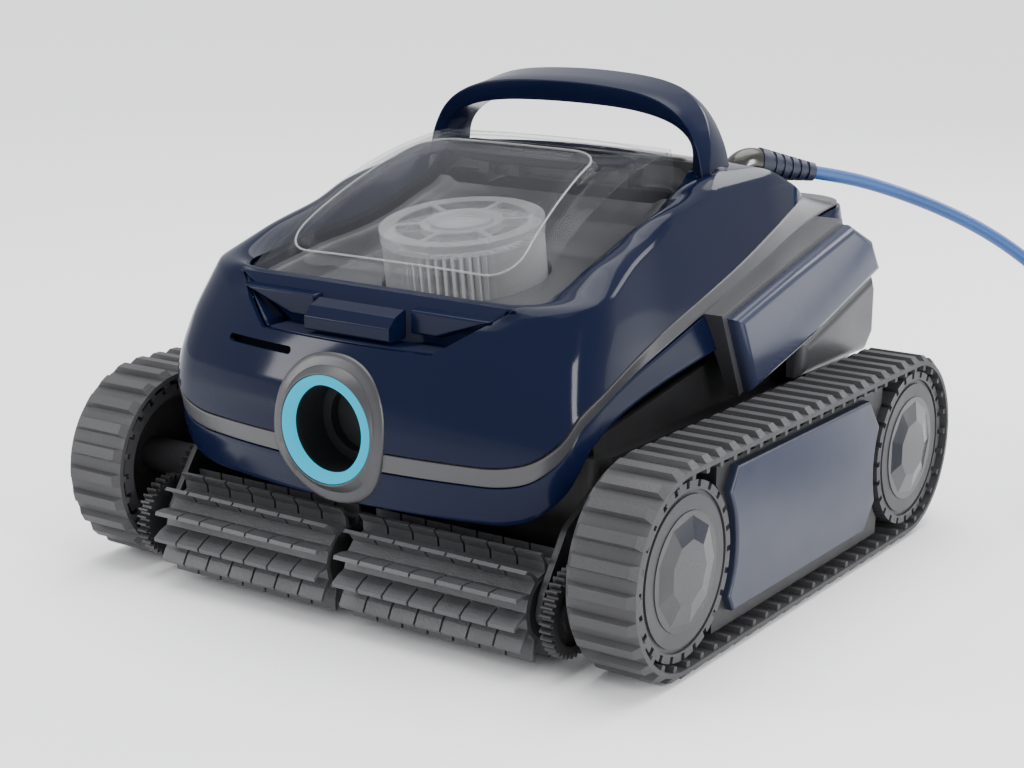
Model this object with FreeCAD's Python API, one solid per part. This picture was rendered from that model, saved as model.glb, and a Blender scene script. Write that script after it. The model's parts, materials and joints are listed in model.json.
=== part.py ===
import FreeCAD, Part
import math
import os

# Tracked robotic pool cleaner, one STEP per piece, in millimetres.
# The front faces -Y and +Z is up. The origin is on the floor, midway between the tracks and the axles.
# Right is +X. Each left-hand piece is the mirror image of the right-hand one.

V = FreeCAD.Vector
X_AXIS, Z_AXIS = V(1, 0, 0), V(0, 0, 1)
ORIGIN = V(0, 0, 0)

# Overall
HALF_WIDTH = 220.0  # outer face of each track
WHEELBASE = 320.0
TREAD_RADIUS = 66.0  # rib tips, and so the height of the axles
RUNNING = 0.05  # radial clearance of a shaft in its bore

# Track belts and wheels
TRACK_WIDTH = 46.0
BELT_OUTER, BELT_INNER = 62.0, 59.0
LUG_RADIUS = 55.3
RIB_COUNT = 62
RIB_ROOT, RIB_TIP = 9.4, 6.8
RIB_CHAMFER = 4.0
LUG_ROOT, LUG_TIP = 5.0, 3.4
TRACK_INNER = HALF_WIDTH - TRACK_WIDTH
WHEEL_RADIUS = 54.2
WHEEL_TEETH = 24
WHEEL_BACK, WHEEL_FACE = 178.0, 216.4
CAP_RADIUS = 36.4
CAP_FACETS = 9
AXLE_RADIUS, HUB_RADIUS = 6.0, 12.0
AXLE_END = 211.0

# Gears
MODULE = 1.5
PRESSURE_ANGLE = math.radians(20)
BACKLASH = 0.16
WHEEL_GEAR, BRUSH_GEAR, PINION = 21, 35, 12
GEAR_START, GEAR_END = 154.5, 162.5
BRUSH_BELOW = math.radians(40.6)  # the brush's axis is ahead of the front axle and below it
PINION_ABOVE = math.radians(20.0)  # the pinion's is ahead of the rear axle and above it

# Tub
TUB_HALF, TUB_FRONT, TUB_REAR = 148.0, -142.0, 204.0
TUB_FLOOR, TUB_TOP, TUB_WALL = 30.0, 116.0, 4.0
MOUTH_HALF, MOUTH_FRONT, MOUTH_REAR, MOUTH_LIP = 62.0, -128.0, -98.0, 20.0
FLAP_HINGE = (MOUTH_REAR + 2.0, TUB_FLOOR + TUB_WALL + 3.0)
FLAP_PIN, FLAP_EAR_INNER, FLAP_EAR_OUTER = 1.5, 64.5, 70.0

# Outer body: height, half width, front and rear of its plan outline
BODY_LEVELS = [(60, 150, -203, 212), (120, 154, -218, 214), (200, 143, -199, 212), (300, 122, -166, 200)]
FRONT_BOW, FRONT_CORNER, REAR_CORNER = 17.0, 42.0, 36.0
WALL = 3.0
SKIRT_BOTTOM = 84.0
# Side profile of the body's top, front to rear, as y and z
TOP_PROFILE = [(-168, 209), (-118, 228), (-45, 254), (30, 274), (84, 269), (130, 249), (176, 228), (214, 212)]
TOP_NOSE = [(-260, 150), (-200, 190)]
TOP_TAIL = [(240, 190), (246, 150), (246, 20)]
# Edges of the grey band and of the wheel arch, seen from the side
BAND_TOP = [(-260, 121), (-207, 121), (-191, 136), (-176, 154), (-150, 165), (-58, 186), (30, 206), (160, 238)]
BAND_BOTTOM = [(-260, 109), (-204, 109), (-189, 124), (-173, 144), (-146, 155), (-58, 177), (30, 196), (182, 226)]
ARCH = [(-260, 84), (-196, 84), (-184, 104), (-168, 130), (-140, 142), (24, 166), (160, 196), (203, 204)]
BAND_RISE = 0.22
NAVY_HALF, NAVY_REAR, NAVY_CORNER = 128.0, 174.0, 34.0

# Front port
PORT_Z, PORT_FACE = 129.4, -223.0
RING_OUTER, RING_INNER, RING_DEPTH = 33.7, 27.4, 7.0
BEZEL_HALF, BEZEL_UP, BEZEL_DOWN, BEZEL_PROUD = 42.5, 46.0, 48.0, 4.0
DUCT_BACK, STEP_RADIUS = -180.0, 21.0
SLOT_BOX = (-91, -36, -230, -180, 167, 178)

# Latch
POCKET_LOW, POCKET_HIGH = (57.0, 180.0), (88.0, 208.0)  # half width and height
POCKET_BACK, POCKET_WALL = -176.0, 3.0
BUTTON_HALF, BUTTON_DEPTH, BUTTON_TRAVEL = 32.6, 17.0, 4.0

# Lid
LID_FRONT, LID_REAR, LID_FRONT_HALF, LID_REAR_HALF, LID_CORNER = -167.0, 31.0, 116.0, 99.0, 20.0
LID_GAP, LID_PROUD, LID_WALL, LID_SKIRT = 0.8, 6.0, 3.0, 2.5
WINDOW_FRONT, WINDOW_REAR, WINDOW_FRONT_HALF, WINDOW_REAR_HALF, WINDOW_RISE = -146.0, -16.0, 80.0, 66.0, 8.0
HINGE_Y, HINGE_Z, HINGE_PIN, HINGE_BARREL = 30.0, 266.0, 2.5, 5.0
RAIL_FRONT, STRIP_REAR, RAIL_BOTTOM, RAIL_TOP = 47.5, 56.0, 248.0, 270.0
EAR_BOTTOM, EAR_TOP = 252.0, 263.0
LID_BARRELS = [(-52.0, -36.0), (36.0, 52.0)]
BODY_BARRELS = [(-61.0, -52.4), (-35.6, -27.0), (27.0, 35.6), (52.4, 61.0)]

# Filter
FILTER_Y, FILTER_TOP_Z, FILTER_TILT = -80.0, 238.0, 9.0
PLEAT_OUTER, PLEAT_INNER, PLEATS = 53.0, 46.0, 60
FILTER_LENGTH = 112.0
DECK_BOTTOM, DECK_TOP = 116.0, 119.0

# Pump
PUMP_Y, PUMP_MOTOR_RADIUS, PUMP_MOTOR_TOP = 86.0, 28.0, 180.0
VOLUTE_OUTER, VOLUTE_BOTTOM, VOLUTE_INLET = 38.0, 40.0, 18.0
IMPELLER_RADIUS, IMPELLER_LOW, IMPELLER_HIGH, IMPELLER_BLADES = 32.0, 50.0, 66.0, 6

# Brushes
BRUSH_TIP, BRUSH_SLEEVE, BRUSH_CORE, BRUSH_SHAFT = 34.0, 21.5, 19.0, 4.0
BRUSH_START, BRUSH_END = 6.0, 142.5
BRUSH_ROWS, BRUSH_SEGMENTS, BLADE_THICKNESS, BLADE_LEAN = 12, 7, 2.6, 0.16

# Handle: right-hand half of its arch as x and z, at its front and rear faces
HANDLE_FRONT, HANDLE_REAR = 36.0, 73.0
ARCH_FRONT_OUTER = [(114, 250), (110.5, 266), (107, 280), (99, 295), (86, 306), (67, 313.5), (40, 317.5), (0, 319)]
ARCH_FRONT_INNER = [(101, 250), (101, 266), (100, 280), (95, 288), (84, 295), (66, 300), (40, 303), (0, 304)]
ARCH_REAR_OUTER = [(116, 250), (112.5, 266), (108, 281), (99, 297), (87, 309), (70, 318), (44, 323), (0, 325)]
ARCH_REAR_INNER = [(102, 250), (101, 266), (99, 280), (92, 290), (80, 298), (64, 304), (40, 307.5), (0, 309)]

# Cable outlet and cable
CABLE_RADIUS = 4.8
OUTLET = V(85, 132, 261.5)
OUTLET_HEADING, OUTLET_DROP = math.radians(38), math.radians(10)
ELBOW_RADIUS, ELBOW_BEND, ELBOW_REACH = 10.5, 12.0, 18.0
BOOT_LENGTH, BOOT_WIDE, BOOT_NARROW = 44.0, 11.5, 6.5
# Route of the cable from the boot's tip to the coil
ROUTE = [
    (122.6, 180.1, 250.7),
    (140.6, 203.1, 245.6),
    (160.0, 228.0, 236.4),
    (181.0, 254.8, 224.2),
    (202.0, 281.6, 209.2),
    (221.8, 307.0, 191.4),
    (242.5, 329.5, 169.5),
    (266.0, 347.6, 144.0),
    (291.5, 360.0, 115.5),
    (318.0, 367.4, 85.5),
    (346.0, 371.0, 56.5),
    (377.0, 371.6, 32.0),
    (411.0, 368.6, 14.0),
    (446.0, 362.3, 6.2),
    (480.0, 353.0, 6.2),
]
COIL_CENTRE = V(439, 257, 0)
COIL_MIDDLE, COIL_COLUMNS, COIL_ROWS, COIL_LIFT = 81.8, 6, 4, 1.4
TIE_THICKNESS, TIE_WIDTH, TIE_ANGLES = 1.2, 12.0, (-105.0, 15.0)
TAIL = [
    (350.2, 205.8, 34.0),
    (343.6, 222.3, 38.5),
    (341.0, 239.7, 42.5),
    (342.5, 257.0, 46.2),
    (346.9, 273.2, 49.6),
    (354.0, 288.0, 51.5),
    (362.8, 301.0, 51.8),
    (370.8, 310.3, 51.8),
]
CONNECTOR_RADIUS, CONNECTOR_LENGTH, NUT_RADIUS = 10.4, 58.0, 11.4


def box(x_low, x_high, y_low, y_high, z_low, z_high):
    return Part.makeBox(x_high - x_low, y_high - y_low, z_high - z_low, V(x_low, y_low, z_low))


def prism_yz(points, x_low, x_high):
    """Solid of a side-view polygon between two x planes."""
    corners = [V(x_low, y, z) for y, z in points]
    return Part.Face(Part.makePolygon([*corners, corners[0]])).extrude(V(x_high - x_low, 0, 0))


def prism_xy(points, z_low, z_high):
    """Solid of a plan-view polygon between two heights."""
    corners = [V(x, y, z_low) for x, y in points]
    return Part.Face(Part.makePolygon([*corners, corners[0]])).extrude(V(0, 0, z_high - z_low))


def prism_xz(points, y_low, y_high):
    """Solid of a front-view polygon between two y planes."""
    corners = [V(x, y_low, z) for x, z in points]
    return Part.Face(Part.makePolygon([*corners, corners[0]])).extrude(V(0, y_high - y_low, 0))


def rod(radius, start, end):
    """Cylinder between two points."""
    return Part.makeCylinder(radius, (end - start).Length, start, end - start)


def x_rod(radius, x_low, x_high, y, z):
    return rod(radius, V(x_low, y, z), V(x_high, y, z))


def x_tube(outer, inner, x_low, x_high, y, z):
    return x_rod(outer, x_low, x_high, y, z).cut(x_rod(inner, x_low - 1, x_high + 1, y, z))


def fuse(shapes):
    return shapes[0].multiFuse(shapes[1:]).removeSplitter() if len(shapes) > 1 else shapes[0]


def mirrored(shape):
    return shape.mirror(ORIGIN, X_AXIS)


def both(shape):
    return fuse([shape, mirrored(shape)])


def pair(shape):
    """A right-hand piece and its mirror image, as separate solids."""
    return Part.makeCompound([shape, mirrored(shape)])


def softened(shape, radius, chosen):
    """Fillets the edges that the test picks. The shape stays sharp where the kernel can't."""
    edges = [edge for edge in shape.Edges if chosen(edge.BoundBox)]
    try:
        result = shape.makeFillet(radius, edges)
    except Exception:
        print("kept sharp:", len(edges), "edges at", radius)
        return shape
    return result if result.isValid() and result.Volume > 0 else shape


def along_x(bounds):
    return bounds.XLength > 3 and bounds.YLength < 0.1 and bounds.ZLength < 0.1


def upright(bounds):
    return bounds.ZLength > 5 and bounds.XLength < 0.1 and bounds.YLength < 0.1


def save(name, shape):
    """Writes one node as its solid, or as a compound of its separate solids."""
    solids = shape.Solids
    assert solids, name
    for solid in solids:
        assert solid.isValid() and solid.Volume > 0, name
    out = solids[0] if len(solids) == 1 else Part.makeCompound(solids)
    out.exportStep(f"parts/{name}.step")
    print(f"{name}: {len(solids)} solid(s), {out.Volume / 1000:.1f} cm3")


def save_sides(name, right):
    save(f"{name}_right", right)
    save(f"{name}_left", mirrored(right))


# Outer body surfaces


def plan_wire(z, half, front, rear, inset):
    """Outline at one height: a bowed front, soft corners, straight sides and a rounded rear."""
    half, front, rear = half - inset, front + inset, rear - inset
    chord, bow_end = half - FRONT_CORNER, front + FRONT_BOW
    bow_radius = (chord**2 + FRONT_BOW**2) / (2 * FRONT_BOW)
    corner_y = bow_end + FRONT_CORNER * chord / (bow_radius - FRONT_BOW)
    side_start, side_end, rear_half = corner_y + FRONT_CORNER, rear - REAR_CORNER, half - REAR_CORNER

    def line(*ends):
        return Part.LineSegment(*(V(x, y, z) for x, y in ends)).toShape()

    def corner(*poles):
        curve = Part.BezierCurve()
        curve.setPoles([V(x, y, z) for x, y in poles])
        return curve.toShape()

    return Part.Wire(
        [
            Part.Arc(V(-chord, bow_end, z), V(0, front, z), V(chord, bow_end, z)).toShape(),
            corner((chord, bow_end), (half, corner_y), (half, side_start)),
            line((half, side_start), (half, side_end)),
            corner((half, side_end), (half, rear), (rear_half, rear)),
            line((rear_half, rear), (-rear_half, rear)),
            corner((-rear_half, rear), (-half, rear), (-half, side_end)),
            line((-half, side_end), (-half, side_start)),
            corner((-half, side_start), (-half, corner_y), (-chord, bow_end)),
        ]
    )


def plan_solid(inset):
    return Part.makeLoft([plan_wire(*level, inset) for level in BODY_LEVELS], True, False)


def under_top(rise):
    """Everything under the body's top surface, moved up by rise."""
    nose = [V(-200, y, z + rise) for y, z in TOP_NOSE]
    tail = [V(-200, y, z + rise) for y, z in TOP_TAIL]
    top = [V(-200, y, z + rise) for y, z in TOP_PROFILE]
    crest = Part.BSplineCurve()
    crest.interpolate(top)
    rim = [top[-1], *tail, V(-200, TOP_NOSE[0][0], 20), *nose, top[0]]
    edges = [crest.toShape()] + [Part.LineSegment(a, b).toShape() for a, b in zip(rim, rim[1:])]
    return Part.Face(Part.Wire(edges)).extrude(V(400, 0, 0))


def sheet(rise, thickness):
    """Layer that follows the top surface, from rise down by thickness."""
    return under_top(rise).cut(under_top(rise - thickness))


def above(curve):
    """The space over a side-view curve."""
    y, z = curve[-1]
    end = (300, z + (300 - y) * BAND_RISE)
    return prism_yz([*curve, end, (300, 420), (-260, 420)], -200, 200)


def tapered_outline(front, rear, front_half, rear_half, corner, low=140, high=400):
    """Tall prism with a rounded trapezoid plan."""
    corners = [(-front_half, front), (front_half, front), (rear_half, rear), (-rear_half, rear)]
    return softened(prism_xy(corners, low, high), corner, upright)


def lid_outline(grow):
    return tapered_outline(LID_FRONT - grow, LID_REAR + grow, LID_FRONT_HALF + grow, LID_REAR_HALF + grow, LID_CORNER)


def window_outline(grow):
    half_front, half_rear = WINDOW_FRONT_HALF + grow, WINDOW_REAR_HALF + grow
    return tapered_outline(WINDOW_FRONT - grow, WINDOW_REAR + grow, half_front, half_rear, LID_CORNER)


def egg(half, up, down, y_low, y_high):
    """Oval prism along Y around the port, taller below its centre than above."""

    def half_oval(height, sign):
        reach = height * 4 / 3
        curve = Part.BezierCurve()
        poles = [(half, 0), (half, sign * reach), (-half, sign * reach), (-half, 0)]
        curve.setPoles([V(x, y_low, PORT_Z + z) for x, z in poles])
        return curve.toShape()

    face = Part.Face(Part.Wire([half_oval(up, 1), half_oval(down, -1)]))
    return face.extrude(V(0, y_high - y_low, 0))


def latch_pocket(inset, back):
    low, high = POCKET_LOW, POCKET_HIGH
    points = [
        (-low[0] + inset, low[1] + inset),
        (low[0] - inset, low[1] + inset),
        (high[0] - inset, high[1] + 8),
        (-high[0] + inset, high[1] + 8),
    ]
    return prism_xz(points, -260, back)


OUTER = plan_solid(0).common(under_top(0))
SHELL = OUTER.cut(plan_solid(WALL).common(under_top(-WALL))).cut(box(-200, 200, -260, 260, 0, SKIRT_BOTTOM))
NAVY_AREA = softened(box(-NAVY_HALF, NAVY_HALF, -300, NAVY_REAR, 0, 420), NAVY_CORNER, upright)


def make_outer_body():
    bezel_hole = egg(BEZEL_HALF, BEZEL_UP, BEZEL_DOWN, -260, -170)
    over_band, over_band_bottom, over_arch = above(BAND_TOP), above(BAND_BOTTOM), above(ARCH)
    front_area = box(-200, 200, -300, 40, 0, 420)
    navy = NAVY_AREA.fuse(front_area)
    lid_hole = lid_outline(LID_GAP).fuse(box(-LID_REAR_HALF, LID_REAR_HALF, 0, STRIP_REAR, 230, 400))
    elbow_hole = rod(ELBOW_RADIUS + 3, V(OUTLET.x, OUTLET.y, 200), OUTLET)
    crown = SHELL.common(over_band)
    upper = crown.common(navy).cut(bezel_hole).cut(lid_hole).cut(latch_pocket(0, POCKET_BACK))
    slot = box(*SLOT_BOX)
    save("upper_shell", upper.cut(slot).cut(elbow_hole))
    band = SHELL.common(over_band_bottom).cut(over_band)
    save("trim_band", fuse([band, crown.cut(navy)]).cut(bezel_hole))
    skirt = SHELL.cut(over_band_bottom).common(over_arch)
    save("lower_shell", skirt.cut(bezel_hole))
    rear = SHELL.cut(over_arch).common(box(-200, 200, 118, 300, 96, 420))
    save("rear_housing", fuse([rear, both(side_fairing())]))
    save("sensor_window", slot.common(plan_solid(1.2).cut(plan_solid(4.2))))


def make_port():
    bezel = egg(BEZEL_HALF, BEZEL_UP, BEZEL_DOWN, -260, -170)
    bezel = bezel.common(plan_solid(-BEZEL_PROUD).cut(plan_solid(WALL + 2)))
    centre = V(0, PORT_FACE, PORT_Z)
    bore = rod(RING_OUTER, centre - V(0, 20, 0), centre + V(0, 60, 0))
    save("front_bezel", bezel.cut(bore))
    ring_back = centre + V(0, RING_DEPTH, 0)
    opening = rod(RING_INNER, centre - V(0, 1, 0), V(0, DUCT_BACK - 10, PORT_Z))
    save("led_ring", rod(RING_OUTER, centre, ring_back).cut(opening))
    duct = rod(RING_OUTER, ring_back, V(0, DUCT_BACK, PORT_Z)).cut(opening)
    step = rod(STEP_RADIUS, ring_back, V(0, DUCT_BACK - 3, PORT_Z))
    save("port_duct", duct.cut(step))


def make_latch():
    tray = latch_pocket(0, POCKET_BACK).cut(latch_pocket(POCKET_WALL, POCKET_BACK - POCKET_WALL))
    save("latch_housing", tray.common(OUTER))
    back = POCKET_BACK - POCKET_WALL - BUTTON_TRAVEL - 0.3
    low, high = POCKET_LOW[1] + POCKET_WALL + 0.5, POCKET_HIGH[1] - 6
    profile = [(back, low), (back, high), (back - BUTTON_DEPTH + 6, high - 4), (back - BUTTON_DEPTH, high - 10)]
    profile.append((back - BUTTON_DEPTH, low))
    save("latch_button", softened(prism_yz(profile, -BUTTON_HALF, BUTTON_HALF), 1.5, along_x))


def make_lid():
    outside = under_top(LID_PROUD).common(lid_outline(0))
    outside = outside.fuse(under_top(LID_PROUD + WINDOW_RISE).common(window_outline(0)))
    inside = under_top(LID_PROUD - LID_WALL).common(lid_outline(-LID_WALL)).fuse(
        under_top(LID_PROUD + WINDOW_RISE - LID_WALL).common(window_outline(-LID_WALL))
    )
    lid = outside.cut(inside).cut(under_top(-LID_SKIRT))
    for x_low, x_high in LID_BARRELS:
        web = box(x_low, x_high, HINGE_Y - 5, LID_REAR, HINGE_Z, HINGE_Z + 12).common(under_top(LID_PROUD - 1))
        lid = lid.fuse(x_rod(HINGE_BARREL, x_low, x_high, HINGE_Y, HINGE_Z)).fuse(web)
    for x_low, x_high in BODY_BARRELS:
        lid = lid.cut(box(x_low - 0.4, x_high + 0.4, HINGE_Y - 8, HINGE_Y + 9, HINGE_Z - 8, HINGE_Z + 5.6))
    save("lid", lid.cut(x_rod(HINGE_PIN + RUNNING, -70, 70, HINGE_Y, HINGE_Z)))
    rail = box(-LID_REAR_HALF, LID_REAR_HALF, RAIL_FRONT, STRIP_REAR, RAIL_BOTTOM, RAIL_TOP)
    for x_low, x_high in BODY_BARRELS:
        ear = x_rod(HINGE_BARREL, x_low, x_high, HINGE_Y, HINGE_Z)
        rail = rail.fuse(ear).fuse(box(x_low, x_high, HINGE_Y - 4, RAIL_FRONT + 1, EAR_BOTTOM, EAR_TOP))
    rail = rail.cut(x_rod(HINGE_PIN, -70, 70, HINGE_Y, HINGE_Z))
    save("hinge_rail", rail.removeSplitter())
    flap_pin = x_rod(FLAP_PIN, -FLAP_EAR_OUTER, FLAP_EAR_OUTER, *FLAP_HINGE)
    save("hinge_pins", Part.makeCompound([x_rod(HINGE_PIN, -62, 62, HINGE_Y, HINGE_Z), flap_pin]))


def tilted(shape):
    """Leans a filter piece forward about the top of its axis."""
    copy = shape.copy()
    copy.rotate(V(0, FILTER_Y, FILTER_TOP_Z), X_AXIS, FILTER_TILT)
    return copy


def filter_rod(radius, down_from, down_to):
    top = V(0, FILTER_Y, FILTER_TOP_Z)
    return tilted(rod(radius, top - V(0, 0, down_to), top - V(0, 0, down_from)))


def make_filter():
    hull = box(-200, 200, -300, 300, DECK_TOP, 420)
    rim = lid_outline(5).cut(lid_outline(-3)).common(sheet(-WALL, 8))
    pan = sheet(-WALL - 6, 3).common(lid_outline(5))
    well = filter_rod(PLEAT_OUTER + 2, -40, FILTER_LENGTH + 20)
    notch = box(-LID_REAR_HALF - 6, LID_REAR_HALF + 6, HINGE_Y - 20, STRIP_REAR + 1, 230, 290)
    front = latch_pocket(-0.5, POCKET_BACK + 0.5)
    tray = fuse([rim, pan]).cut(well).cut(notch).cut(front)
    save("filter_tray", max(tray.Solids, key=lambda solid: solid.Volume))
    star = []
    for step in range(2 * PLEATS):
        radius = PLEAT_OUTER if step % 2 else PLEAT_INNER
        angle = math.pi * step / PLEATS
        star.append((radius * math.cos(angle), FILTER_Y + radius * math.sin(angle)))
    low, high = FILTER_TOP_Z - FILTER_LENGTH - 10, FILTER_TOP_Z - 8
    pleats = tilted(prism_xy(star, low, high)).cut(filter_rod(PLEAT_INNER - 2.5, -10, FILTER_LENGTH + 20))
    save("filter_pleats", pleats.common(hull))
    top_ring = filter_rod(PLEAT_OUTER + 1, 0, 8).cut(filter_rod(PLEAT_INNER - 2.5, -1, 9))
    spokes = [filter_rod(27, 0, 5).cut(filter_rod(21, -1, 6))]
    for number in range(6):
        arm = box(20, PLEAT_INNER - 2, FILTER_Y - 2, FILTER_Y + 2, FILTER_TOP_Z - 5, FILTER_TOP_Z)
        arm.rotate(V(0, FILTER_Y, 0), Z_AXIS, 60 * number + 30)
        spokes.append(tilted(arm))
    save("filter_frame", fuse([top_ring, *spokes]))
    save("filter_cap", filter_rod(21, -2, 4))
    save("inner_deck", make_deck())


def make_deck():
    deck = box(-134, 134, -134, 186, DECK_BOTTOM, DECK_TOP)
    deck = deck.cut(rod(30, V(0, FILTER_Y + 18, 100), V(0, FILTER_Y + 18, 130)))
    return deck.cut(rod(10, V(0, PUMP_Y, 100), V(0, PUMP_Y, 130)))


def make_tub():
    outside = softened(box(-TUB_HALF, TUB_HALF, TUB_FRONT, TUB_REAR, TUB_FLOOR, TUB_TOP), 14, upright)
    inner_half, inner_rear = TUB_HALF - TUB_WALL, TUB_REAR - TUB_WALL
    inside = box(-inner_half, inner_half, TUB_FRONT + TUB_WALL, inner_rear, TUB_FLOOR + TUB_WALL, TUB_TOP - 4)
    hatch = box(-130, 130, -130, 192, 100, 130)
    lip = box(-MOUTH_HALF - 4, MOUTH_HALF + 4, MOUTH_FRONT - 4, MOUTH_REAR + 4, MOUTH_LIP, TUB_FLOOR)
    mouth = box(-MOUTH_HALF, MOUTH_HALF, MOUTH_FRONT, MOUTH_REAR, 0, TUB_FLOOR + TUB_WALL)
    arm_outline = [(-150, 30), (-196, 24), (-208, 36), (-204, 50), (-180, 84), (-150, 100), (-120, 100), (-120, 30)]
    arm = softened(prism_yz(arm_outline, TUB_HALF - TUB_WALL, TUB_HALF), 8, lambda b: along_x(b) and b.YMin < -160)
    collar = [(-136, TUB_TOP), (-136, 126), (24, 150), (150, 178), (190, 184), (190, TUB_TOP)]
    wall = prism_yz(collar, 135, 138)
    rear_wall = box(-138, 138, 187, 190, TUB_TOP, 184)
    tub = fuse([outside.cut(inside).cut(hatch), lip, both(arm), both(wall), rear_wall, flap_ears()]).cut(mouth)
    shafts = both(x_rod(PINION_SHAFT + RUNNING, 140, 152, *PINION_CENTRE))
    sleeves = both(x_rod(SLEEVE_RADIUS + RUNNING, 140, 152, *BRUSH_CENTRE))
    save("base_tub", tub.cut(shafts).cut(sleeves))


# Gears and running gear

FRONT_AXLE, REAR_AXLE = (-WHEELBASE / 2, TREAD_RADIUS), (WHEELBASE / 2, TREAD_RADIUS)
BRUSH_DISTANCE = MODULE * (WHEEL_GEAR + BRUSH_GEAR) / 2
PINION_DISTANCE = MODULE * (WHEEL_GEAR + PINION) / 2
BRUSH_CENTRE = (
    FRONT_AXLE[0] - BRUSH_DISTANCE * math.cos(BRUSH_BELOW),
    FRONT_AXLE[1] - BRUSH_DISTANCE * math.sin(BRUSH_BELOW),
)
PINION_CENTRE = (
    REAR_AXLE[0] - PINION_DISTANCE * math.cos(PINION_ABOVE),
    REAR_AXLE[1] + PINION_DISTANCE * math.sin(PINION_ABOVE),
)
SLEEVE_RADIUS, PINION_SHAFT = 8.0, 4.0


def gear(teeth, centre, towards, tooth_there):
    """Involute spur gear about X. A tooth, or a gap, points along the angle towards, measured from +Y to +Z."""
    pitch = MODULE * teeth / 2
    base = pitch * math.cos(PRESSURE_ANGLE)
    tip, root = pitch + MODULE, pitch - 1.25 * MODULE

    def involute(radius):
        if radius <= base:
            return 0.0
        roll = math.sqrt((radius / base) ** 2 - 1)
        return roll - math.atan(roll)

    half_tooth = (math.pi * MODULE / 2 - BACKLASH) / (2 * pitch) + involute(pitch)
    start = towards + (0 if tooth_there else math.pi / teeth)
    radii = [root] + [max(root, base) + (tip - max(root, base)) * step / 5 for step in range(6)]
    flank = [(radius, half_tooth - involute(radius)) for radius in radii]
    points = []
    for tooth in range(teeth):
        middle = start + 2 * math.pi * tooth / teeth
        sides = [(radius, -angle) for radius, angle in flank] + list(reversed(flank))
        for radius, angle in sides:
            turn = middle + angle
            points.append((centre[0] + radius * math.cos(turn), centre[1] + radius * math.sin(turn)))
    return prism_yz(points, GEAR_START, GEAR_END)


def stadium(radius, x_low, x_high):
    """Solid round both axles: two half discs and the straight runs between them."""
    ends = [x_rod(radius, x_low, x_high, *axle) for axle in (FRONT_AXLE, REAR_AXLE)]
    middle = box(x_low, x_high, FRONT_AXLE[0], REAR_AXLE[0], TREAD_RADIUS - radius, TREAD_RADIUS + radius)
    return fuse([*ends, middle])


def loop_point(distance, radius):
    """Point on the track's loop, and its outward direction, at a distance along its outer face."""
    turn = math.pi * BELT_OUTER
    distance %= 2 * (WHEELBASE + turn)
    if distance < WHEELBASE:
        return (REAR_AXLE[0] - distance, TREAD_RADIUS + radius), math.pi / 2
    distance -= WHEELBASE
    if distance < turn:
        angle = math.pi / 2 + distance / BELT_OUTER
        y = FRONT_AXLE[0] + radius * math.cos(angle)
        return (y, TREAD_RADIUS + radius * math.sin(angle)), angle
    distance -= turn
    if distance < WHEELBASE:
        return (FRONT_AXLE[0] + distance, TREAD_RADIUS - radius), 1.5 * math.pi
    angle = 1.5 * math.pi + (distance - WHEELBASE) / BELT_OUTER
    return (REAR_AXLE[0] + radius * math.cos(angle), TREAD_RADIUS + radius * math.sin(angle)), angle


def bar(distance, root_radius, tip_radius, root_width, tip_width, x_low, x_high):
    """Rib or lug across the belt: a trapezoid seen from the side."""
    (y, z), angle = loop_point(distance, root_radius)
    rise = tip_radius - root_radius
    out_y, out_z = math.cos(angle), math.sin(angle)
    points = []
    for up, across in ((0, -root_width), (0, root_width), (rise, tip_width), (rise, -tip_width)):
        points.append((y + out_y * up - out_z * across / 2, z + out_z * up + out_y * across / 2))
    return prism_yz(points, x_low, x_high)


def rib_envelope():
    """Round the loop at the rib tips, sloping down to the belt at both edges."""
    edge, full = TRACK_INNER + RIB_CHAMFER, HALF_WIDTH - RIB_CHAMFER
    parts = [stadium(TREAD_RADIUS + 0.01, edge, full)]
    for flat, end in ((edge, TRACK_INNER), (full, HALF_WIDTH)):
        wires = []
        for x, radius in ((flat, TREAD_RADIUS), (end, BELT_OUTER)):
            top = [V(x, REAR_AXLE[0], TREAD_RADIUS + radius), V(x, FRONT_AXLE[0], TREAD_RADIUS + radius)]
            low = [V(x, FRONT_AXLE[0], TREAD_RADIUS - radius), V(x, REAR_AXLE[0], TREAD_RADIUS - radius)]
            front = Part.Arc(top[1], V(x, FRONT_AXLE[0] - radius, TREAD_RADIUS), low[0]).toShape()
            rear = Part.Arc(low[1], V(x, REAR_AXLE[0] + radius, TREAD_RADIUS), top[0]).toShape()
            upper = Part.LineSegment(*top).toShape()
            lower = Part.LineSegment(*low).toShape()
            wires.append(Part.Wire([upper, front, lower, rear]))
        parts.append(Part.makeLoft(wires, True, True))
    return parts


def make_belt():
    loop = 2 * (WHEELBASE + math.pi * BELT_OUTER)
    pitch = loop / RIB_COUNT
    band = stadium(BELT_OUTER, TRACK_INNER, HALF_WIDTH).cut(stadium(BELT_INNER, TRACK_INNER, HALF_WIDTH))
    ribs, lugs = [], []
    for number in range(RIB_COUNT):
        middle = WHEELBASE / 2 + pitch * (number + 0.5)
        rib = bar(middle, BELT_OUTER - 1, TREAD_RADIUS, RIB_ROOT, RIB_TIP, TRACK_INNER, HALF_WIDTH)
        ribs.append(rib)
        lug = bar(middle, BELT_INNER + 1, LUG_RADIUS, LUG_ROOT, LUG_TIP, TRACK_INNER + 1, HALF_WIDTH - 1)
        lugs.append(lug)
    envelope = rib_envelope()
    shaped = [part for rib in ribs for section in envelope for part in [rib.common(section)] if part.Volume > 1]
    save_sides("track_belt", band.multiFuse(shaped + lugs).removeSplitter())


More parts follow.
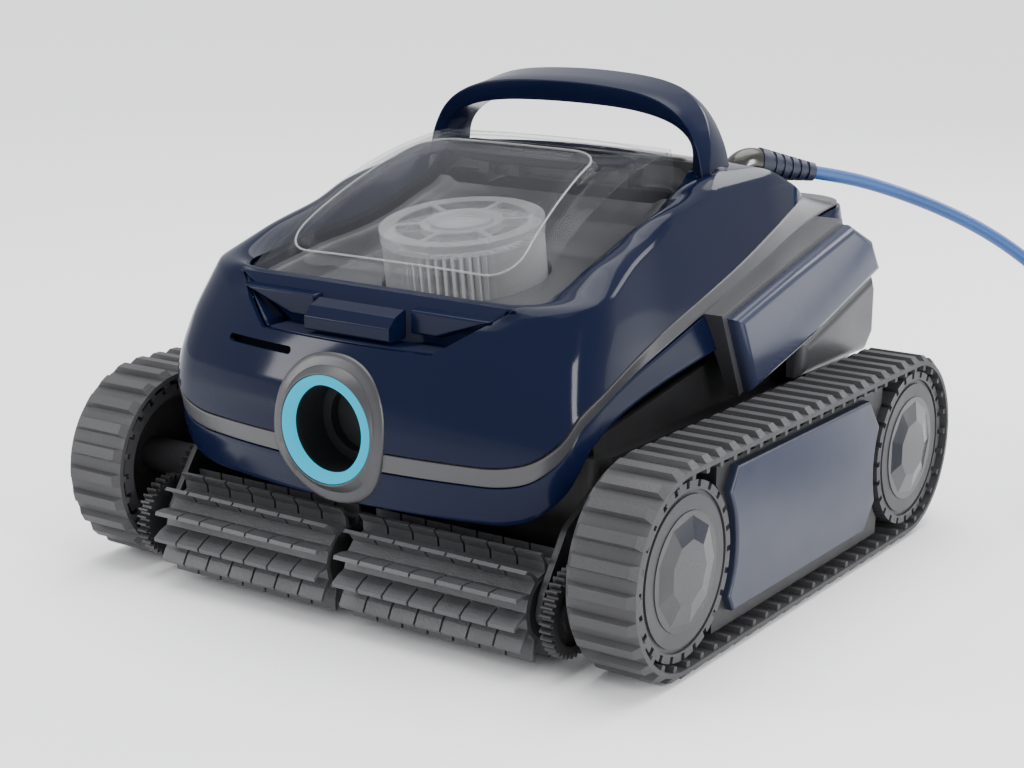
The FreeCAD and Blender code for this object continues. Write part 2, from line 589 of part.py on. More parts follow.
def toothed_disc(radius, depth, teeth, notch, x_low, x_high, centre):
    """Disc whose rim is cut by narrow notches."""
    disc = x_rod(radius, x_low, x_high, *centre)
    cuts = []
    for number in range(teeth):
        slot = box(x_low - 1, x_high + 1, radius - depth, radius + 2, -notch / 2, notch / 2)
        slot.rotate(ORIGIN, X_AXIS, 360 * number / teeth)
        slot.translate(V(0, *centre))
        cuts.append(slot)
    return disc.cut(Part.makeCompound(cuts))


def make_wheel(name, centre, gear_angle):
    rim = toothed_disc(WHEEL_RADIUS, 4.2, WHEEL_TEETH, 3.6, WHEEL_BACK, WHEEL_FACE, centre)
    rim = rim.cut(x_tube(45.5, HUB_RADIUS, WHEEL_BACK - 1, 204, *centre))
    rim = rim.cut(x_rod(CAP_RADIUS, 207.5, 230, *centre))
    rim = rim.cut(x_tube(48.6, 45.8, WHEEL_FACE - 1.6, 230, *centre))
    hub = x_rod(HUB_RADIUS, 152.0, 205, *centre)
    wheel = fuse([rim, hub, gear(WHEEL_GEAR, centre, gear_angle, True)])
    save_sides(f"wheel_{name}", wheel.cut(x_rod(AXLE_RADIUS + RUNNING, 140, 230, *centre)))
    rim_points, face_points = [], []
    for number in range(CAP_FACETS):
        angle = 2 * math.pi * number / CAP_FACETS
        rim_points.append(V(217.0, centre[0] + 33.5 * math.cos(angle), centre[1] + 33.5 * math.sin(angle)))
        face_points.append(V(219.4, centre[0] + 20 * math.cos(angle), centre[1] + 20 * math.sin(angle)))
    wires = [Part.makePolygon([*points, points[0]]) for points in (rim_points, face_points)]
    dome = Part.makeLoft(wires, True, True)
    cap = fuse([x_rod(CAP_RADIUS - 0.1, 214.0, 217.0, *centre), x_tube(CAP_RADIUS - 0.1, 33, 207.5, 214, *centre), dome])
    save_sides(f"hub_cap_{name}", cap)


def scallop(x_low, x_high, radius):
    return fuse([x_rod(radius, x_low, x_high, *axle) for axle in (FRONT_AXLE, REAR_AXLE)])


def make_track_frame():
    plate = box(180, 212, -118, 118, 13.5, 118.5).cut(scallop(170, 220, 58.5))
    plate = plate.cut(box(176, 208, -70, 70, 30, 100))
    web = box(TUB_HALF, 184, -84, 84, 40, 100).cut(box(TUB_HALF, 184, -76, 76, 46, 94))
    save_sides("track_frame", fuse([plate, web]))
    outline = [(-100, 23.7), (87, 23.7), (104, 44), (104, 95), (87, 115.5), (-100, 115.5), (-112, 95), (-112, 44)]
    cover = prism_yz(outline, 212, 217.6).cut(scallop(200, 230, 62))
    save_sides("side_cover", softened(cover, 2.0, lambda b: b.XMin > 217 and b.XMax < 218))
    axles = []
    for y, z in (FRONT_AXLE, REAR_AXLE):
        axles.append(x_rod(AXLE_RADIUS, TUB_HALF, AXLE_END, y, z))
    save("axles", pair(Part.makeCompound(axles)))
    heads = [x_rod(9.5, AXLE_END, AXLE_END + 2.5, y, z) for y, z in (FRONT_AXLE, REAR_AXLE)]
    screws = pair(Part.makeCompound(heads))
    floor = [rod(4.5, V(x, y, TUB_FLOOR - 2.5), V(x, y, TUB_FLOOR)) for x in (-128, 128) for y in (-120, 20, 180)]
    save("screws", Part.makeCompound([screws, *floor]))


def make_brushes():
    start, end = BRUSH_START, BRUSH_END
    core = fuse([x_rod(BRUSH_CORE, start, end, *BRUSH_CENTRE), x_rod(SLEEVE_RADIUS, end, GEAR_END + 1, *BRUSH_CENTRE)])
    wheel = gear(BRUSH_GEAR, BRUSH_CENTRE, BRUSH_BELOW, False)
    wheel = wheel.cut(x_tube(20, 12, GEAR_END - 3, GEAR_END + 1, *BRUSH_CENTRE))
    core = fuse([core, wheel]).cut(x_rod(BRUSH_SHAFT + RUNNING, 0, 200, *BRUSH_CENTRE))
    save_sides("brush_core", core)
    points = []
    for row in range(BRUSH_ROWS):
        middle = 2 * math.pi * row / BRUSH_ROWS
        half_root, half_tip = 1.4 * BLADE_THICKNESS / BRUSH_SLEEVE / 2, BLADE_THICKNESS / BRUSH_TIP / 2
        mid = (BRUSH_SLEEVE + BRUSH_TIP) / 2
        for radius, angle in (
            (BRUSH_SLEEVE, -half_root),
            (mid, BLADE_LEAN * 0.35 - half_tip),
            (BRUSH_TIP, BLADE_LEAN - half_tip),
            (BRUSH_TIP, BLADE_LEAN + half_tip),
            (mid, BLADE_LEAN * 0.35 + half_tip),
            (BRUSH_SLEEVE, half_root),
        ):
            turn = middle + angle
            points.append((BRUSH_CENTRE[0] + radius * math.cos(turn), BRUSH_CENTRE[1] + radius * math.sin(turn)))
    sleeve = prism_yz(points, start + 1, end - 1).cut(x_rod(BRUSH_CORE, 0, 200, *BRUSH_CENTRE))
    pitch = (end - start - 2) / BRUSH_SEGMENTS
    slits = []
    for number in range(1, BRUSH_SEGMENTS):
        x = start + 1 + pitch * number
        slits.append(x_tube(BRUSH_TIP + 2, BRUSH_SLEEVE + 0.5, x - 0.8, x + 0.8, *BRUSH_CENTRE))
    save_sides("brush_blades", sleeve.cut(Part.makeCompound(slits)))
    save("brush_shaft", x_rod(BRUSH_SHAFT, -TUB_HALF, TUB_HALF, *BRUSH_CENTRE))
    outline = [(TUB_FRONT, 34), (-186, 30), (-198, 34), (-198, 44), (-186, 48), (TUB_FRONT, 74)]
    bracket = prism_yz(outline, -4, 4).cut(x_rod(BRUSH_SHAFT, -10, 10, *BRUSH_CENTRE))
    save("brush_bracket", bracket)


def make_drives():
    pinion = gear(PINION, PINION_CENTRE, -PINION_ABOVE, False)
    shaft = x_rod(PINION_SHAFT, 132, GEAR_END + 1, *PINION_CENTRE)
    save_sides("pinion", fuse([pinion, shaft]))
    motor = fuse([x_rod(20, 66, 126, *PINION_CENTRE), x_rod(12, 126, 144, *PINION_CENTRE)])
    cradle = box(72, 118, PINION_CENTRE[0] - 14, PINION_CENTRE[0] + 14, TUB_FLOOR + TUB_WALL, PINION_CENTRE[1] - 10)
    motor = fuse([motor, cradle]).cut(x_rod(PINION_SHAFT + RUNNING, 131, 160, *PINION_CENTRE))
    save("drive_motors", pair(motor))


def make_pump():
    axis = [V(0, PUMP_Y, z) for z in (VOLUTE_BOTTOM, DECK_BOTTOM)]
    shell = rod(VOLUTE_OUTER, *axis).cut(rod(VOLUTE_OUTER - 3, axis[0] + V(0, 0, 4), axis[1] - V(0, 0, 3)))
    shell = shell.cut(rod(VOLUTE_INLET, axis[0], axis[0] + V(0, 0, 4)))
    shell = shell.cut(rod(10, axis[0] + V(0, 0, 50), axis[1]))
    floor = V(0, PUMP_Y, TUB_FLOOR + TUB_WALL)
    legs = []
    for number in range(3):
        leg = box(VOLUTE_OUTER - 8, VOLUTE_OUTER - 2, -4, 4, 0, VOLUTE_BOTTOM - floor.z)
        leg.rotate(ORIGIN, Z_AXIS, 120 * number)
        leg.translate(floor)
        legs.append(leg)
    save("pump_volute", fuse([shell, *legs]))
    motor = fuse([rod(PUMP_MOTOR_RADIUS, V(0, PUMP_Y, DECK_TOP), V(0, PUMP_Y, PUMP_MOTOR_TOP))])
    motor = softened(motor, 4, lambda b: b.ZMin > PUMP_MOTOR_TOP - 1)
    save("pump_motor", motor.cut(rod(3 + RUNNING, V(0, PUMP_Y, 110), V(0, PUMP_Y, 141))))
    hub = rod(8, V(0, PUMP_Y, IMPELLER_LOW), V(0, PUMP_Y, IMPELLER_HIGH))
    shaft = rod(3, V(0, PUMP_Y, IMPELLER_HIGH), V(0, PUMP_Y, 140))
    disc = rod(IMPELLER_RADIUS, V(0, PUMP_Y, IMPELLER_HIGH - 2), V(0, PUMP_Y, IMPELLER_HIGH))
    pieces = [hub, shaft, disc]
    for number in range(IMPELLER_BLADES):
        blade = box(6, IMPELLER_RADIUS - 1, -1, 1, IMPELLER_LOW + 2, IMPELLER_HIGH - 1)
        blade.rotate(V(6, 0, 0), Z_AXIS, 22)
        blade.rotate(ORIGIN, Z_AXIS, 360 * number / IMPELLER_BLADES)
        blade.translate(V(0, PUMP_Y, 0))
        pieces.append(blade.common(rod(IMPELLER_RADIUS, V(0, PUMP_Y, 0), V(0, PUMP_Y, 100))))
    save("impeller", fuse(pieces))


def flap_ears():
    y, z = FLAP_HINGE
    ear = box(FLAP_EAR_INNER, FLAP_EAR_OUTER, y - 4, y + 4, TUB_FLOOR + TUB_WALL, z + 3)
    return both(ear.cut(x_rod(FLAP_PIN, 0, 100, y, z)))


def make_intake():
    y, z = FLAP_HINGE
    flap = box(-MOUTH_HALF - 2, MOUTH_HALF + 2, MOUTH_FRONT - 2, y, z - 1.2, z + 1.0)
    barrel = x_rod(2.6, -MOUTH_HALF - 2, MOUTH_HALF + 2, y, z)
    save("intake_flap", fuse([flap, barrel]).cut(x_rod(FLAP_PIN + RUNNING, -80, 80, y, z)))
    save("control_box", softened(box(-132, -66, -92, 54, TUB_FLOOR + TUB_WALL, 106), 6, upright))


# Fins and rear fairings

FIN = [(9, 131), (-17, 183), (64, 202), (150, 221), (185, 206), (202, 182), (92, 150)]
FIN_TRIM = [(4, 128), *FIN[:4], (148, 225), (62, 206.5), (-24, 186)]
FIN_FACE, FIN_WALL = 171.0, 3.0
FAIRING = [(90, 122), (92, 147), (202, 179), (208, 168), (208, 134), (196, 122)]
FAIRING_FACE = 165.0


def shrunk(points, factor):
    y_middle = sum(y for y, _ in points) / len(points)
    z_middle = sum(z for _, z in points) / len(points)
    return [(y_middle + (y - y_middle) * factor, z_middle + (z - z_middle) * factor) for y, z in points]


def side_fairing():
    """Pod under the rear of each fin, moulded with the rear housing."""
    block = softened(prism_yz(FAIRING, 120, FAIRING_FACE), 8, lambda b: b.XMin > FAIRING_FACE - 1)
    hollow = prism_yz(shrunk(FAIRING, 0.86), 110, FAIRING_FACE - FIN_WALL)
    return block.cut(hollow).cut(plan_solid(WALL / 2)).cut(prism_yz(FIN, 120, FIN_FACE + 1))


def make_fins():
    body = plan_solid(0)
    block = softened(prism_yz(FIN, 120, FIN_FACE), 6, lambda b: b.XMin > FIN_FACE - 1)
    hollow = prism_yz(shrunk(FIN, 0.9), 110, FIN_FACE - FIN_WALL)
    save_sides("fin_panel", block.cut(hollow).cut(body))
    trim = prism_yz(FIN_TRIM, 120, FIN_FACE - 9).cut(body).cut(block)
    save("fin_trims", pair(trim))


def arch_wire(outer, inner, y):
    """Closed outline of the handle's arch in one upright plane."""

    def curve(points):
        right = [V(x, y, z) for x, z in points]
        left = [V(-x, y, z) for x, z in reversed(points[:-1])]
        spline = Part.BSplineCurve()
        spline.interpolate(right + left)
        return spline.toShape()

    def foot(side):
        return Part.LineSegment(*(V(side * points[0][0], y, points[0][1]) for points in (outer, inner))).toShape()

    return Part.Wire(Part.__sortEdges__([curve(outer), foot(-1), curve(inner), foot(1)]))


def make_handle():
    front = arch_wire(ARCH_FRONT_OUTER, ARCH_FRONT_INNER, HANDLE_FRONT)
    rear = arch_wire(ARCH_REAR_OUTER, ARCH_REAR_INNER, HANDLE_REAR)
    save("handle", Part.makeLoft([front, rear], True, True).cut(under_top(0)))


# Cable


def outlet_direction():
    flat = math.cos(OUTLET_DROP)
    return V(math.sin(OUTLET_HEADING) * flat, math.cos(OUTLET_HEADING) * flat, -math.sin(OUTLET_DROP))


def rounded_path(points, radii=None):
    """Wire of straight runs joined by tangent arcs, with each arc's radius and the wire's length."""
    points = [V(*point) for point in points]
    edges, found, last = [], [], points[0]
    for number in range(1, len(points) - 1):
        before, here, after = points[number - 1 : number + 2]
        back, ahead = before - here, after - here
        turn = math.pi - back.getAngle(ahead)
        radius = radii[number - 1] if radii else 0.45 * min(back.Length, ahead.Length) / math.tan(turn / 2)
        trim = radius * math.tan(turn / 2)
        back.normalize()
        ahead.normalize()
        start, end = here + back * trim, here + ahead * trim
        inward = (back + ahead).normalize()
        middle = here + inward * (radius / math.cos(turn / 2) - radius)
        if (start - last).Length > 0.01:
            edges.append(Part.LineSegment(last, start).toShape())
        edges.append(Part.Arc(start, middle, end).toShape())
        found.append(radius)
        last = end
    edges.append(Part.LineSegment(last, points[-1]).toShape())
    return Part.Wire(edges), found


def swept(path, radius):
    """Round bar along a path."""
    first = path.OrderedEdges[0]
    start, along = first.valueAt(first.FirstParameter), first.tangentAt(first.FirstParameter)
    section = Part.Wire(Part.makeCircle(radius, start, along))
    return path.makePipeShell([section], True, False)


def cable_tube(name, route):
    path, radii = rounded_path(route)
    tube = swept(path, CABLE_RADIUS)
    expected = math.pi * CABLE_RADIUS**2 * path.Length
    print(f"{name}: arc radii", [round(radius) for radius in radii], f"length {path.Length:.0f}")
    print(f"{name}: volume is {tube.Volume / expected:.4f} of section times length")
    return tube


def make_outlet():
    along = outlet_direction()
    foot = V(OUTLET.x, OUTLET.y, 238)
    end = OUTLET + along * ELBOW_REACH
    path, _ = rounded_path([foot, OUTLET, end], [ELBOW_BEND])
    collar = rod(ELBOW_RADIUS + 2.8, foot, V(OUTLET.x, OUTLET.y, 251))
    save("cable_elbow", fuse([swept(path, ELBOW_RADIUS), collar]))
    tip = end + along * BOOT_LENGTH
    boot = Part.makeCone(BOOT_WIDE, BOOT_NARROW, BOOT_LENGTH, end, along)
    grooves = []
    for number in range(5):
        at = end + along * (8 + 7 * number)
        inner = BOOT_WIDE - 2.4 - 0.9 * number
        grooves.append(rod(BOOT_WIDE + 3, at, at + along * 2.4).cut(rod(inner, at, at + along * 2.4)))
    save("strain_relief", boot.cut(Part.makeCompound(grooves)))
    print("boot tip", [round(value, 1) for value in tip])


def coil_ring(grow):
    """Outer shape of the coil, made larger all round by grow."""
    half = COIL_COLUMNS * CABLE_RADIUS + grow
    low, high = COIL_LIFT - grow, COIL_LIFT + 2 * CABLE_RADIUS * COIL_ROWS + grow
    bottom, top = COIL_CENTRE + V(0, 0, low), COIL_CENTRE + V(0, 0, high)
    return rod(COIL_MIDDLE + half, bottom, top).cut(rod(COIL_MIDDLE - half, bottom, top))


def make_cable():
    ring = coil_ring(0)
    save("cord_coil", ring)
    tubes = [cable_tube("run", ROUTE).cut(ring), cable_tube("tail", TAIL).cut(ring)]
    save("cord_run", Part.makeCompound(tubes))
    ties = []
    for angle in TIE_ANGLES:
        gate = box(40, 130, -TIE_WIDTH / 2, TIE_WIDTH / 2, -10, 80)
        gate.rotate(ORIGIN, Z_AXIS, angle)
        gate.translate(COIL_CENTRE)
        ties.append(coil_ring(TIE_THICKNESS).common(gate).cut(ring))
    save("cord_tie", Part.makeCompound(ties))
    end, before = V(*TAIL[-1]), V(*TAIL[-2])
    along = V(end.x - before.x, end.y - before.y, 0).normalize()
    body = rod(CONNECTOR_RADIUS, end, end + along * CONNECTOR_LENGTH)
    nut = rod(NUT_RADIUS, end + along * 26, end + along * 46)
    save("power_connector", fuse([body, nut]))


os.makedirs("parts", exist_ok=True)
make_outer_body()
make_port()
make_latch()
make_lid()
make_filter()
make_tub()
make_belt()
make_wheel("front", FRONT_AXLE, math.pi + BRUSH_BELOW)
make_wheel("rear", REAR_AXLE, math.pi - PINION_ABOVE)
make_track_frame()
make_brushes()
make_drives()
make_pump()
make_intake()
make_fins()
make_handle()
make_outlet()
make_cable()
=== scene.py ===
import json
import math

import bmesh
import bpy
import numpy as np
from mathutils import Matrix, Vector


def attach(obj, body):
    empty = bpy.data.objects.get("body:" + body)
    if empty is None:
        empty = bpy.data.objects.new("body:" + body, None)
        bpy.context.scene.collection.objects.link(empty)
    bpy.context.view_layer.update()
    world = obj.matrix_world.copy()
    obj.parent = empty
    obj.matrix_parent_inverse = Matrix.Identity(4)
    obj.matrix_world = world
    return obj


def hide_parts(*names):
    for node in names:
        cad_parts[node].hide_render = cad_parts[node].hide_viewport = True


# Looks of the tracked pool cleaner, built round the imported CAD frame. The object's lengths are in
# millimetres, and MM turns them into Blender's metres. The camera, lights and floor are placed in metres.
# The front faces -Y, and right is +X.

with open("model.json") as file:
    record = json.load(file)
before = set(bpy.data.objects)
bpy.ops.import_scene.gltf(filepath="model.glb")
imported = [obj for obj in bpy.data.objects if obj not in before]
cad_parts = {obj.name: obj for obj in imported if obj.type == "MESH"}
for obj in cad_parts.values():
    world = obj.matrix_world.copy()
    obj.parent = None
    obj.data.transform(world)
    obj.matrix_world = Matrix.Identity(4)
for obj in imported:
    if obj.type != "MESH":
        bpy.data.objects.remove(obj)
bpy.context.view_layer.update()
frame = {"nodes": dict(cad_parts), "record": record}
MM = 0.001

# The front port, as in part.py
PORT_Z, PORT_FACE, RING_OUTER, RING_INNER = 129.4, -223.0, 33.7, 27.4


# Camera, lights and floor


def make_camera():
    data = bpy.data.cameras.new("camera")
    data.sensor_width, data.lens = 36.0, 70.89
    data.clip_end = 50.0
    camera = bpy.data.objects.new("camera", data)
    bpy.context.collection.objects.link(camera)
    azimuth, elevation, roll = math.radians(34.035), math.radians(14.221), math.radians(0.516)
    back = Vector((
        math.sin(azimuth) * math.cos(elevation),
        -math.cos(azimuth) * math.cos(elevation),
        math.sin(elevation),
    ))
    level = Vector((math.cos(azimuth), math.sin(azimuth), 0))
    upright = back.cross(level)
    right = level * math.cos(roll) + upright * math.sin(roll)
    up = upright * math.cos(roll) - level * math.sin(roll)
    camera.matrix_world = Matrix((
        (right.x, up.x, back.x, 0.74936),
        (right.y, up.y, back.y, -1.12981),
        (right.z, up.z, back.z, 0.45620),
        (0, 0, 0, 1),
    ))
    bpy.context.scene.camera = camera


def area_light(name, place, target, width, height, power, tint=(1, 1, 1)):
    data = bpy.data.lights.new(name, "AREA")
    data.shape, data.size, data.size_y = "RECTANGLE", width, height
    data.energy, data.color = power, tint
    light = bpy.data.objects.new(name, data)
    light.location = place
    light.rotation_euler = (Vector(target) - Vector(place)).to_track_quat("-Z", "Y").to_euler()
    bpy.context.collection.objects.link(light)


def make_stage():
    world = bpy.data.worlds.new("studio")
    world.use_nodes = True
    background = world.node_tree.nodes["Background"]
    background.inputs["Color"].default_value = (0.96, 0.97, 1.0, 1)
    background.inputs["Strength"].default_value = 1.0
    bpy.context.scene.world = world
    mesh = bpy.data.meshes.new("floor")
    reach = 24.0
    corners = [(-reach, -reach, 0), (reach, -reach, 0), (reach, reach, 0), (-reach, reach, 0)]
    mesh.from_pydata(corners, [], [(0, 1, 2, 3)])
    floor = bpy.data.objects.new("floor", mesh)
    bpy.context.collection.objects.link(floor)
    mesh.materials.append(surface("floor_paper", (0.965, 0.965, 0.97), 0.9, 0.004))
    overhead = bpy.data.lights.new("overhead", "SUN")
    overhead.energy, overhead.angle = 2.6, math.radians(60)
    light = bpy.data.objects.new("overhead", overhead)
    light.rotation_euler = (math.radians(-12), math.radians(-8), 0)
    bpy.context.collection.objects.link(light)
    area_light("top_box", (0.1, 0.0, 1.7), (0, 0, 0.1), 1.6, 1.6, 10)
    area_light("front_left_strip", (-1.5, -1.5, 0.9), (0, 0, 0.15), 0.35, 1.3, 22)
    area_light("right_window", (1.9, -0.5, 0.75), (0.1, 0, 0.15), 0.30, 1.1, 26)
    area_light("rear_rim", (0.6, 1.7, 1.2), (0, 0, 0.2), 1.2, 0.6, 16)


# Materials


def nodes_of(name):
    material = bpy.data.materials.new(name)
    material.use_nodes = True
    tree = material.node_tree
    return material, tree, tree.nodes["Principled BSDF"]


def link_noise(tree, scale, detail, low, high, place):
    """Noise in object space, mapped to run from low to high."""
    coordinates = tree.nodes.new("ShaderNodeTexCoord")
    noise = tree.nodes.new("ShaderNodeTexNoise")
    noise.inputs["Scale"].default_value = scale
    noise.inputs["Detail"].default_value = detail
    spread = tree.nodes.new("ShaderNodeMapRange")
    spread.inputs["From Min"].default_value, spread.inputs["From Max"].default_value = 0.3, 0.7
    spread.inputs["To Min"].default_value, spread.inputs["To Max"].default_value = low, high
    tree.links.new(coordinates.outputs["Object"], noise.inputs["Vector"])
    tree.links.new(noise.outputs["Fac"], spread.inputs["Value"])
    if place is not None:
        tree.links.new(spread.outputs["Result"], place)
    return spread.outputs["Result"]


def surface(
    name, colour, roughness, vary=0.08, grain=0.0, grain_scale=900.0, coat=0.0, metallic=0.0, sheen=0.0,
    patch=14.0, shine=0.5,
):
    """Moulded finish: colour that drifts a little, uneven gloss, and a fine grain in its bump."""
    material, tree, shader = nodes_of(name)
    darker = [channel * (1 - vary) for channel in colour] + [1]
    lighter = [min(1, channel * (1 + vary)) for channel in colour] + [1]
    mix = tree.nodes.new("ShaderNodeMix")
    mix.data_type = "RGBA"
    mix.inputs["A"].default_value, mix.inputs["B"].default_value = darker, lighter
    link_noise(tree, patch, 3, 0, 1, mix.inputs["Factor"])
    tree.links.new(mix.outputs["Result"], shader.inputs["Base Color"])
    link_noise(tree, patch * 2.3, 4, roughness * 0.88, min(1, roughness * 1.12), shader.inputs["Roughness"])
    shader.inputs["Metallic"].default_value = metallic
    shader.inputs["Specular IOR Level"].default_value = shine
    shader.inputs["Coat Weight"].default_value = coat
    shader.inputs["Coat Roughness"].default_value = 0.04
    shader.inputs["Sheen Weight"].default_value = sheen
    if grain:
        bump = tree.nodes.new("ShaderNodeBump")
        bump.inputs["Strength"].default_value = grain
        bump.inputs["Distance"].default_value = 0.0004
        link_noise(tree, grain_scale, 2, 0, 1, bump.inputs["Height"])
        tree.links.new(bump.outputs["Normal"], shader.inputs["Normal"])
    return material


def clear(name, colour, low, high, roughness=0.05, shine=0.18):
    """Clear moulding: see-through face on, and brighter and denser where it turns away."""
    material, tree, shader = nodes_of(name)
    shader.inputs["Base Color"].default_value = (*colour, 1)
    shader.inputs["Specular IOR Level"].default_value = shine
    link_noise(tree, 20, 3, roughness * 0.8, roughness * 1.3, shader.inputs["Roughness"])
    facing = tree.nodes.new("ShaderNodeLayerWeight")
    facing.inputs["Blend"].default_value = 0.25
    spread = tree.nodes.new("ShaderNodeMapRange")
    spread.inputs["To Min"].default_value, spread.inputs["To Max"].default_value = low, high
    tree.links.new(facing.outputs["Facing"], spread.inputs["Value"])
    tree.links.new(spread.outputs["Result"], shader.inputs["Alpha"])
    return material


def glowing(name, colour, strength):
    material, tree, shader = nodes_of(name)
    shader.inputs["Base Color"].default_value = (0.0, 0.02, 0.04, 1)
    shader.inputs["Roughness"].default_value = 0.3
    shader.inputs["Specular IOR Level"].default_value = 0.02
    mix = tree.nodes.new("ShaderNodeMix")
    mix.data_type = "RGBA"
    mix.inputs["A"].default_value = (*colour, 1)
    mix.inputs["B"].default_value = (colour[0] + 0.02, colour[1] * 1.1, colour[2], 1)
    link_noise(tree, 16, 2, 0, 1, mix.inputs["Factor"])
    tree.links.new(mix.outputs["Result"], shader.inputs["Emission Color"])
    shader.inputs["Emission Strength"].default_value = strength
    return material


NAVY = (0.0028, 0.0054, 0.020)
MATERIALS = {
    "navy_gloss": surface("navy_gloss", NAVY, 0.10, 0.05, shine=0.13),
    "navy_satin": surface("navy_satin", (0.0034, 0.0062, 0.023), 0.18, 0.05, shine=0.13),
    "fin_gloss": surface("fin_gloss", (0.022, 0.027, 0.052), 0.16, 0.04, shine=0.3),
    "grey_satin": surface("grey_satin", (0.038, 0.038, 0.042), 0.36, 0.06, grain=0.06),
    "bezel_grey": surface("bezel_grey", (0.028, 0.028, 0.032), 0.34, 0.06, grain=0.05),
    "slate_satin": surface("slate_satin", (0.018, 0.022, 0.042), 0.32, 0.03, shine=0.35),
    "ring_light": glowing("ring_light", (0.0, 0.52, 0.80), 1.1),
    "dark_window": surface("dark_window", (0.003, 0.004, 0.006), 0.3, 0.05, shine=0.0),
    "clear_lid": clear("clear_lid", (0.075, 0.078, 0.088), 0.07, 0.42),
    "clear_frame": clear("clear_frame", (0.42, 0.43, 0.44), 0.26, 0.85, 0.12, 0.5),
    "tray_grey": surface("tray_grey", (0.060, 0.060, 0.064), 0.45, 0.08, grain=0.1),
    "filter_medium": surface(
        "filter_medium", (0.60, 0.60, 0.60), 0.8, 0.08, grain=0.35, grain_scale=1600, sheen=0.3,
    ),
    "black_plastic": surface("black_plastic", (0.010, 0.010, 0.011), 0.48, 0.15, grain=0.15),
    "motor_grey": surface("motor_grey", (0.05, 0.052, 0.056), 0.5, 0.1, grain=0.2),
    "white_plastic": surface("white_plastic", (0.55, 0.55, 0.52), 0.4, 0.05),
    "seal_rubber": surface("seal_rubber", (0.012, 0.012, 0.013), 0.65, 0.1, grain=0.3),
    "track_rubber": surface(
        "track_rubber", (0.044, 0.044, 0.046), 0.52, 0.12, grain=0.3, grain_scale=700, shine=0.3,
    ),
    "brush_rubber": surface(
        "brush_rubber", (0.050, 0.051, 0.054), 0.5, 0.15, grain=0.3, grain_scale=700,
    ),
    "brush_core": surface("brush_core", (0.014, 0.014, 0.015), 0.5, 0.1, grain=0.2),
    "wheel_grey": surface("wheel_grey", (0.040, 0.040, 0.042), 0.42, 0.08, grain=0.15, shine=0.3),
    "cap_translucent": surface(
        "cap_translucent", (0.030, 0.030, 0.032), 0.16, 0.10, shine=0.3, patch=40,
    ),
    "steel": surface("steel", (0.55, 0.55, 0.56), 0.3, 0.05, metallic=1.0),
    "bronze_grey": surface("bronze_grey", (0.018, 0.016, 0.013), 0.16, 0.2, coat=0.3, patch=40),
    "boot_rubber": surface("boot_rubber", (0.008, 0.012, 0.032), 0.42, 0.1, grain=0.2),
    "cable_blue": surface("cable_blue", (0.020, 0.075, 0.24), 0.36, 0.08, grain=0.08),
    "tie_black": surface(
        "tie_black", (0.010, 0.010, 0.012), 0.85, 0.3, grain=0.8, grain_scale=1500, sheen=0.4,
    ),
    "connector_black": surface("connector_black", (0.012, 0.012, 0.013), 0.4, 0.1, grain=0.2),
}


def dress_frame():
    """Gives every CAD node that stays in sight its slot's finish."""
    slots = {part["node"]: part["material_slot"] for part in frame["record"]["subparts"]}
    for name, node in frame["nodes"].items():
        node.data.materials.clear()
        node.data.materials.append(MATERIALS[slots[name]])


# Mesh helpers


def place(name, points, faces, body, slot, replaces=(), smooth=True):
    """Makes a piece from points in millimetres, and rides it on its body."""
    mesh = bpy.data.meshes.new(name)
    mesh.from_pydata([tuple(float(value) * MM for value in point) for point in points], [], faces)
    mesh.validate()
    mesh.update()
    piece = bpy.data.objects.new(name, mesh)
    bpy.context.collection.objects.link(piece)
    mesh.materials.append(MATERIALS[slot])
    if smooth:
        mesh.polygons.foreach_set("use_smooth", [True] * len(mesh.polygons))
    settle(piece, body, replaces)
    return piece


def settle(piece, body, replaces=()):
    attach(piece, body)
    if replaces:
        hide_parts(*replaces)


def flat(rows):
    return [point for row in rows for point in row]


def grid_faces(rows, columns, wrap_rows=False, wrap_columns=False, flip=False):
    faces = []
    for row in range(rows if wrap_rows else rows - 1):
        for column in range(columns if wrap_columns else columns - 1):
            a = row * columns + column
            b = row * columns + (column + 1) % columns
            c = (row + 1) % rows * columns + (column + 1) % columns
            d = (row + 1) % rows * columns + column
            faces.append((a, d, c, b) if flip else (a, b, c, d))
    return faces


def add(piece, kind, **settings):
    modifier = piece.modifiers.new(kind.lower(), kind)
    for key, value in settings.items():
        setattr(modifier, key, value)
    return modifier


def bake(piece):
    """Turns the piece's modifiers into its mesh."""
    bpy.context.view_layer.update()
    evaluated = piece.evaluated_get(bpy.context.evaluated_depsgraph_get())
    mesh = bpy.data.meshes.new_from_object(evaluated)
    piece.modifiers.clear()
    piece.data = mesh
    return piece


def crease_by_angle(piece, degrees=30):
    """Smooth shading that breaks where faces meet at more than the angle."""
    mesh = piece.data
    work = bmesh.new()
    work.from_mesh(mesh)
    for edge in work.edges:
        edge.smooth = len(edge.link_faces) == 2 and edge.calc_face_angle(0) < math.radians(degrees)
    work.to_mesh(mesh)
    work.free()
    mesh.polygons.foreach_set("use_smooth", [True] * len(mesh.polygons))


def cut(pieces, start, end):
    """Cuts a prism out of the pieces. Its start ring runs anticlockwise as seen from outside the prism."""
    count = len(start)
    faces = [tuple(range(count)), tuple(range(2 * count - 1, count - 1, -1))]
    faces += [(k, count + k, count + (k + 1) % count, (k + 1) % count) for k in range(count)]
    mesh = bpy.data.meshes.new("cutter")
    mesh.from_pydata([tuple(value * MM for value in point) for point in (*start, *end)], [], faces)
    cutter = bpy.data.objects.new("cutter", mesh)
    bpy.context.collection.objects.link(cutter)
    for piece in pieces:
        add(piece, "BOOLEAN", operation="DIFFERENCE", solver="EXACT", object=cutter)
        bake(piece)
    bpy.data.objects.remove(cutter)


# Cable

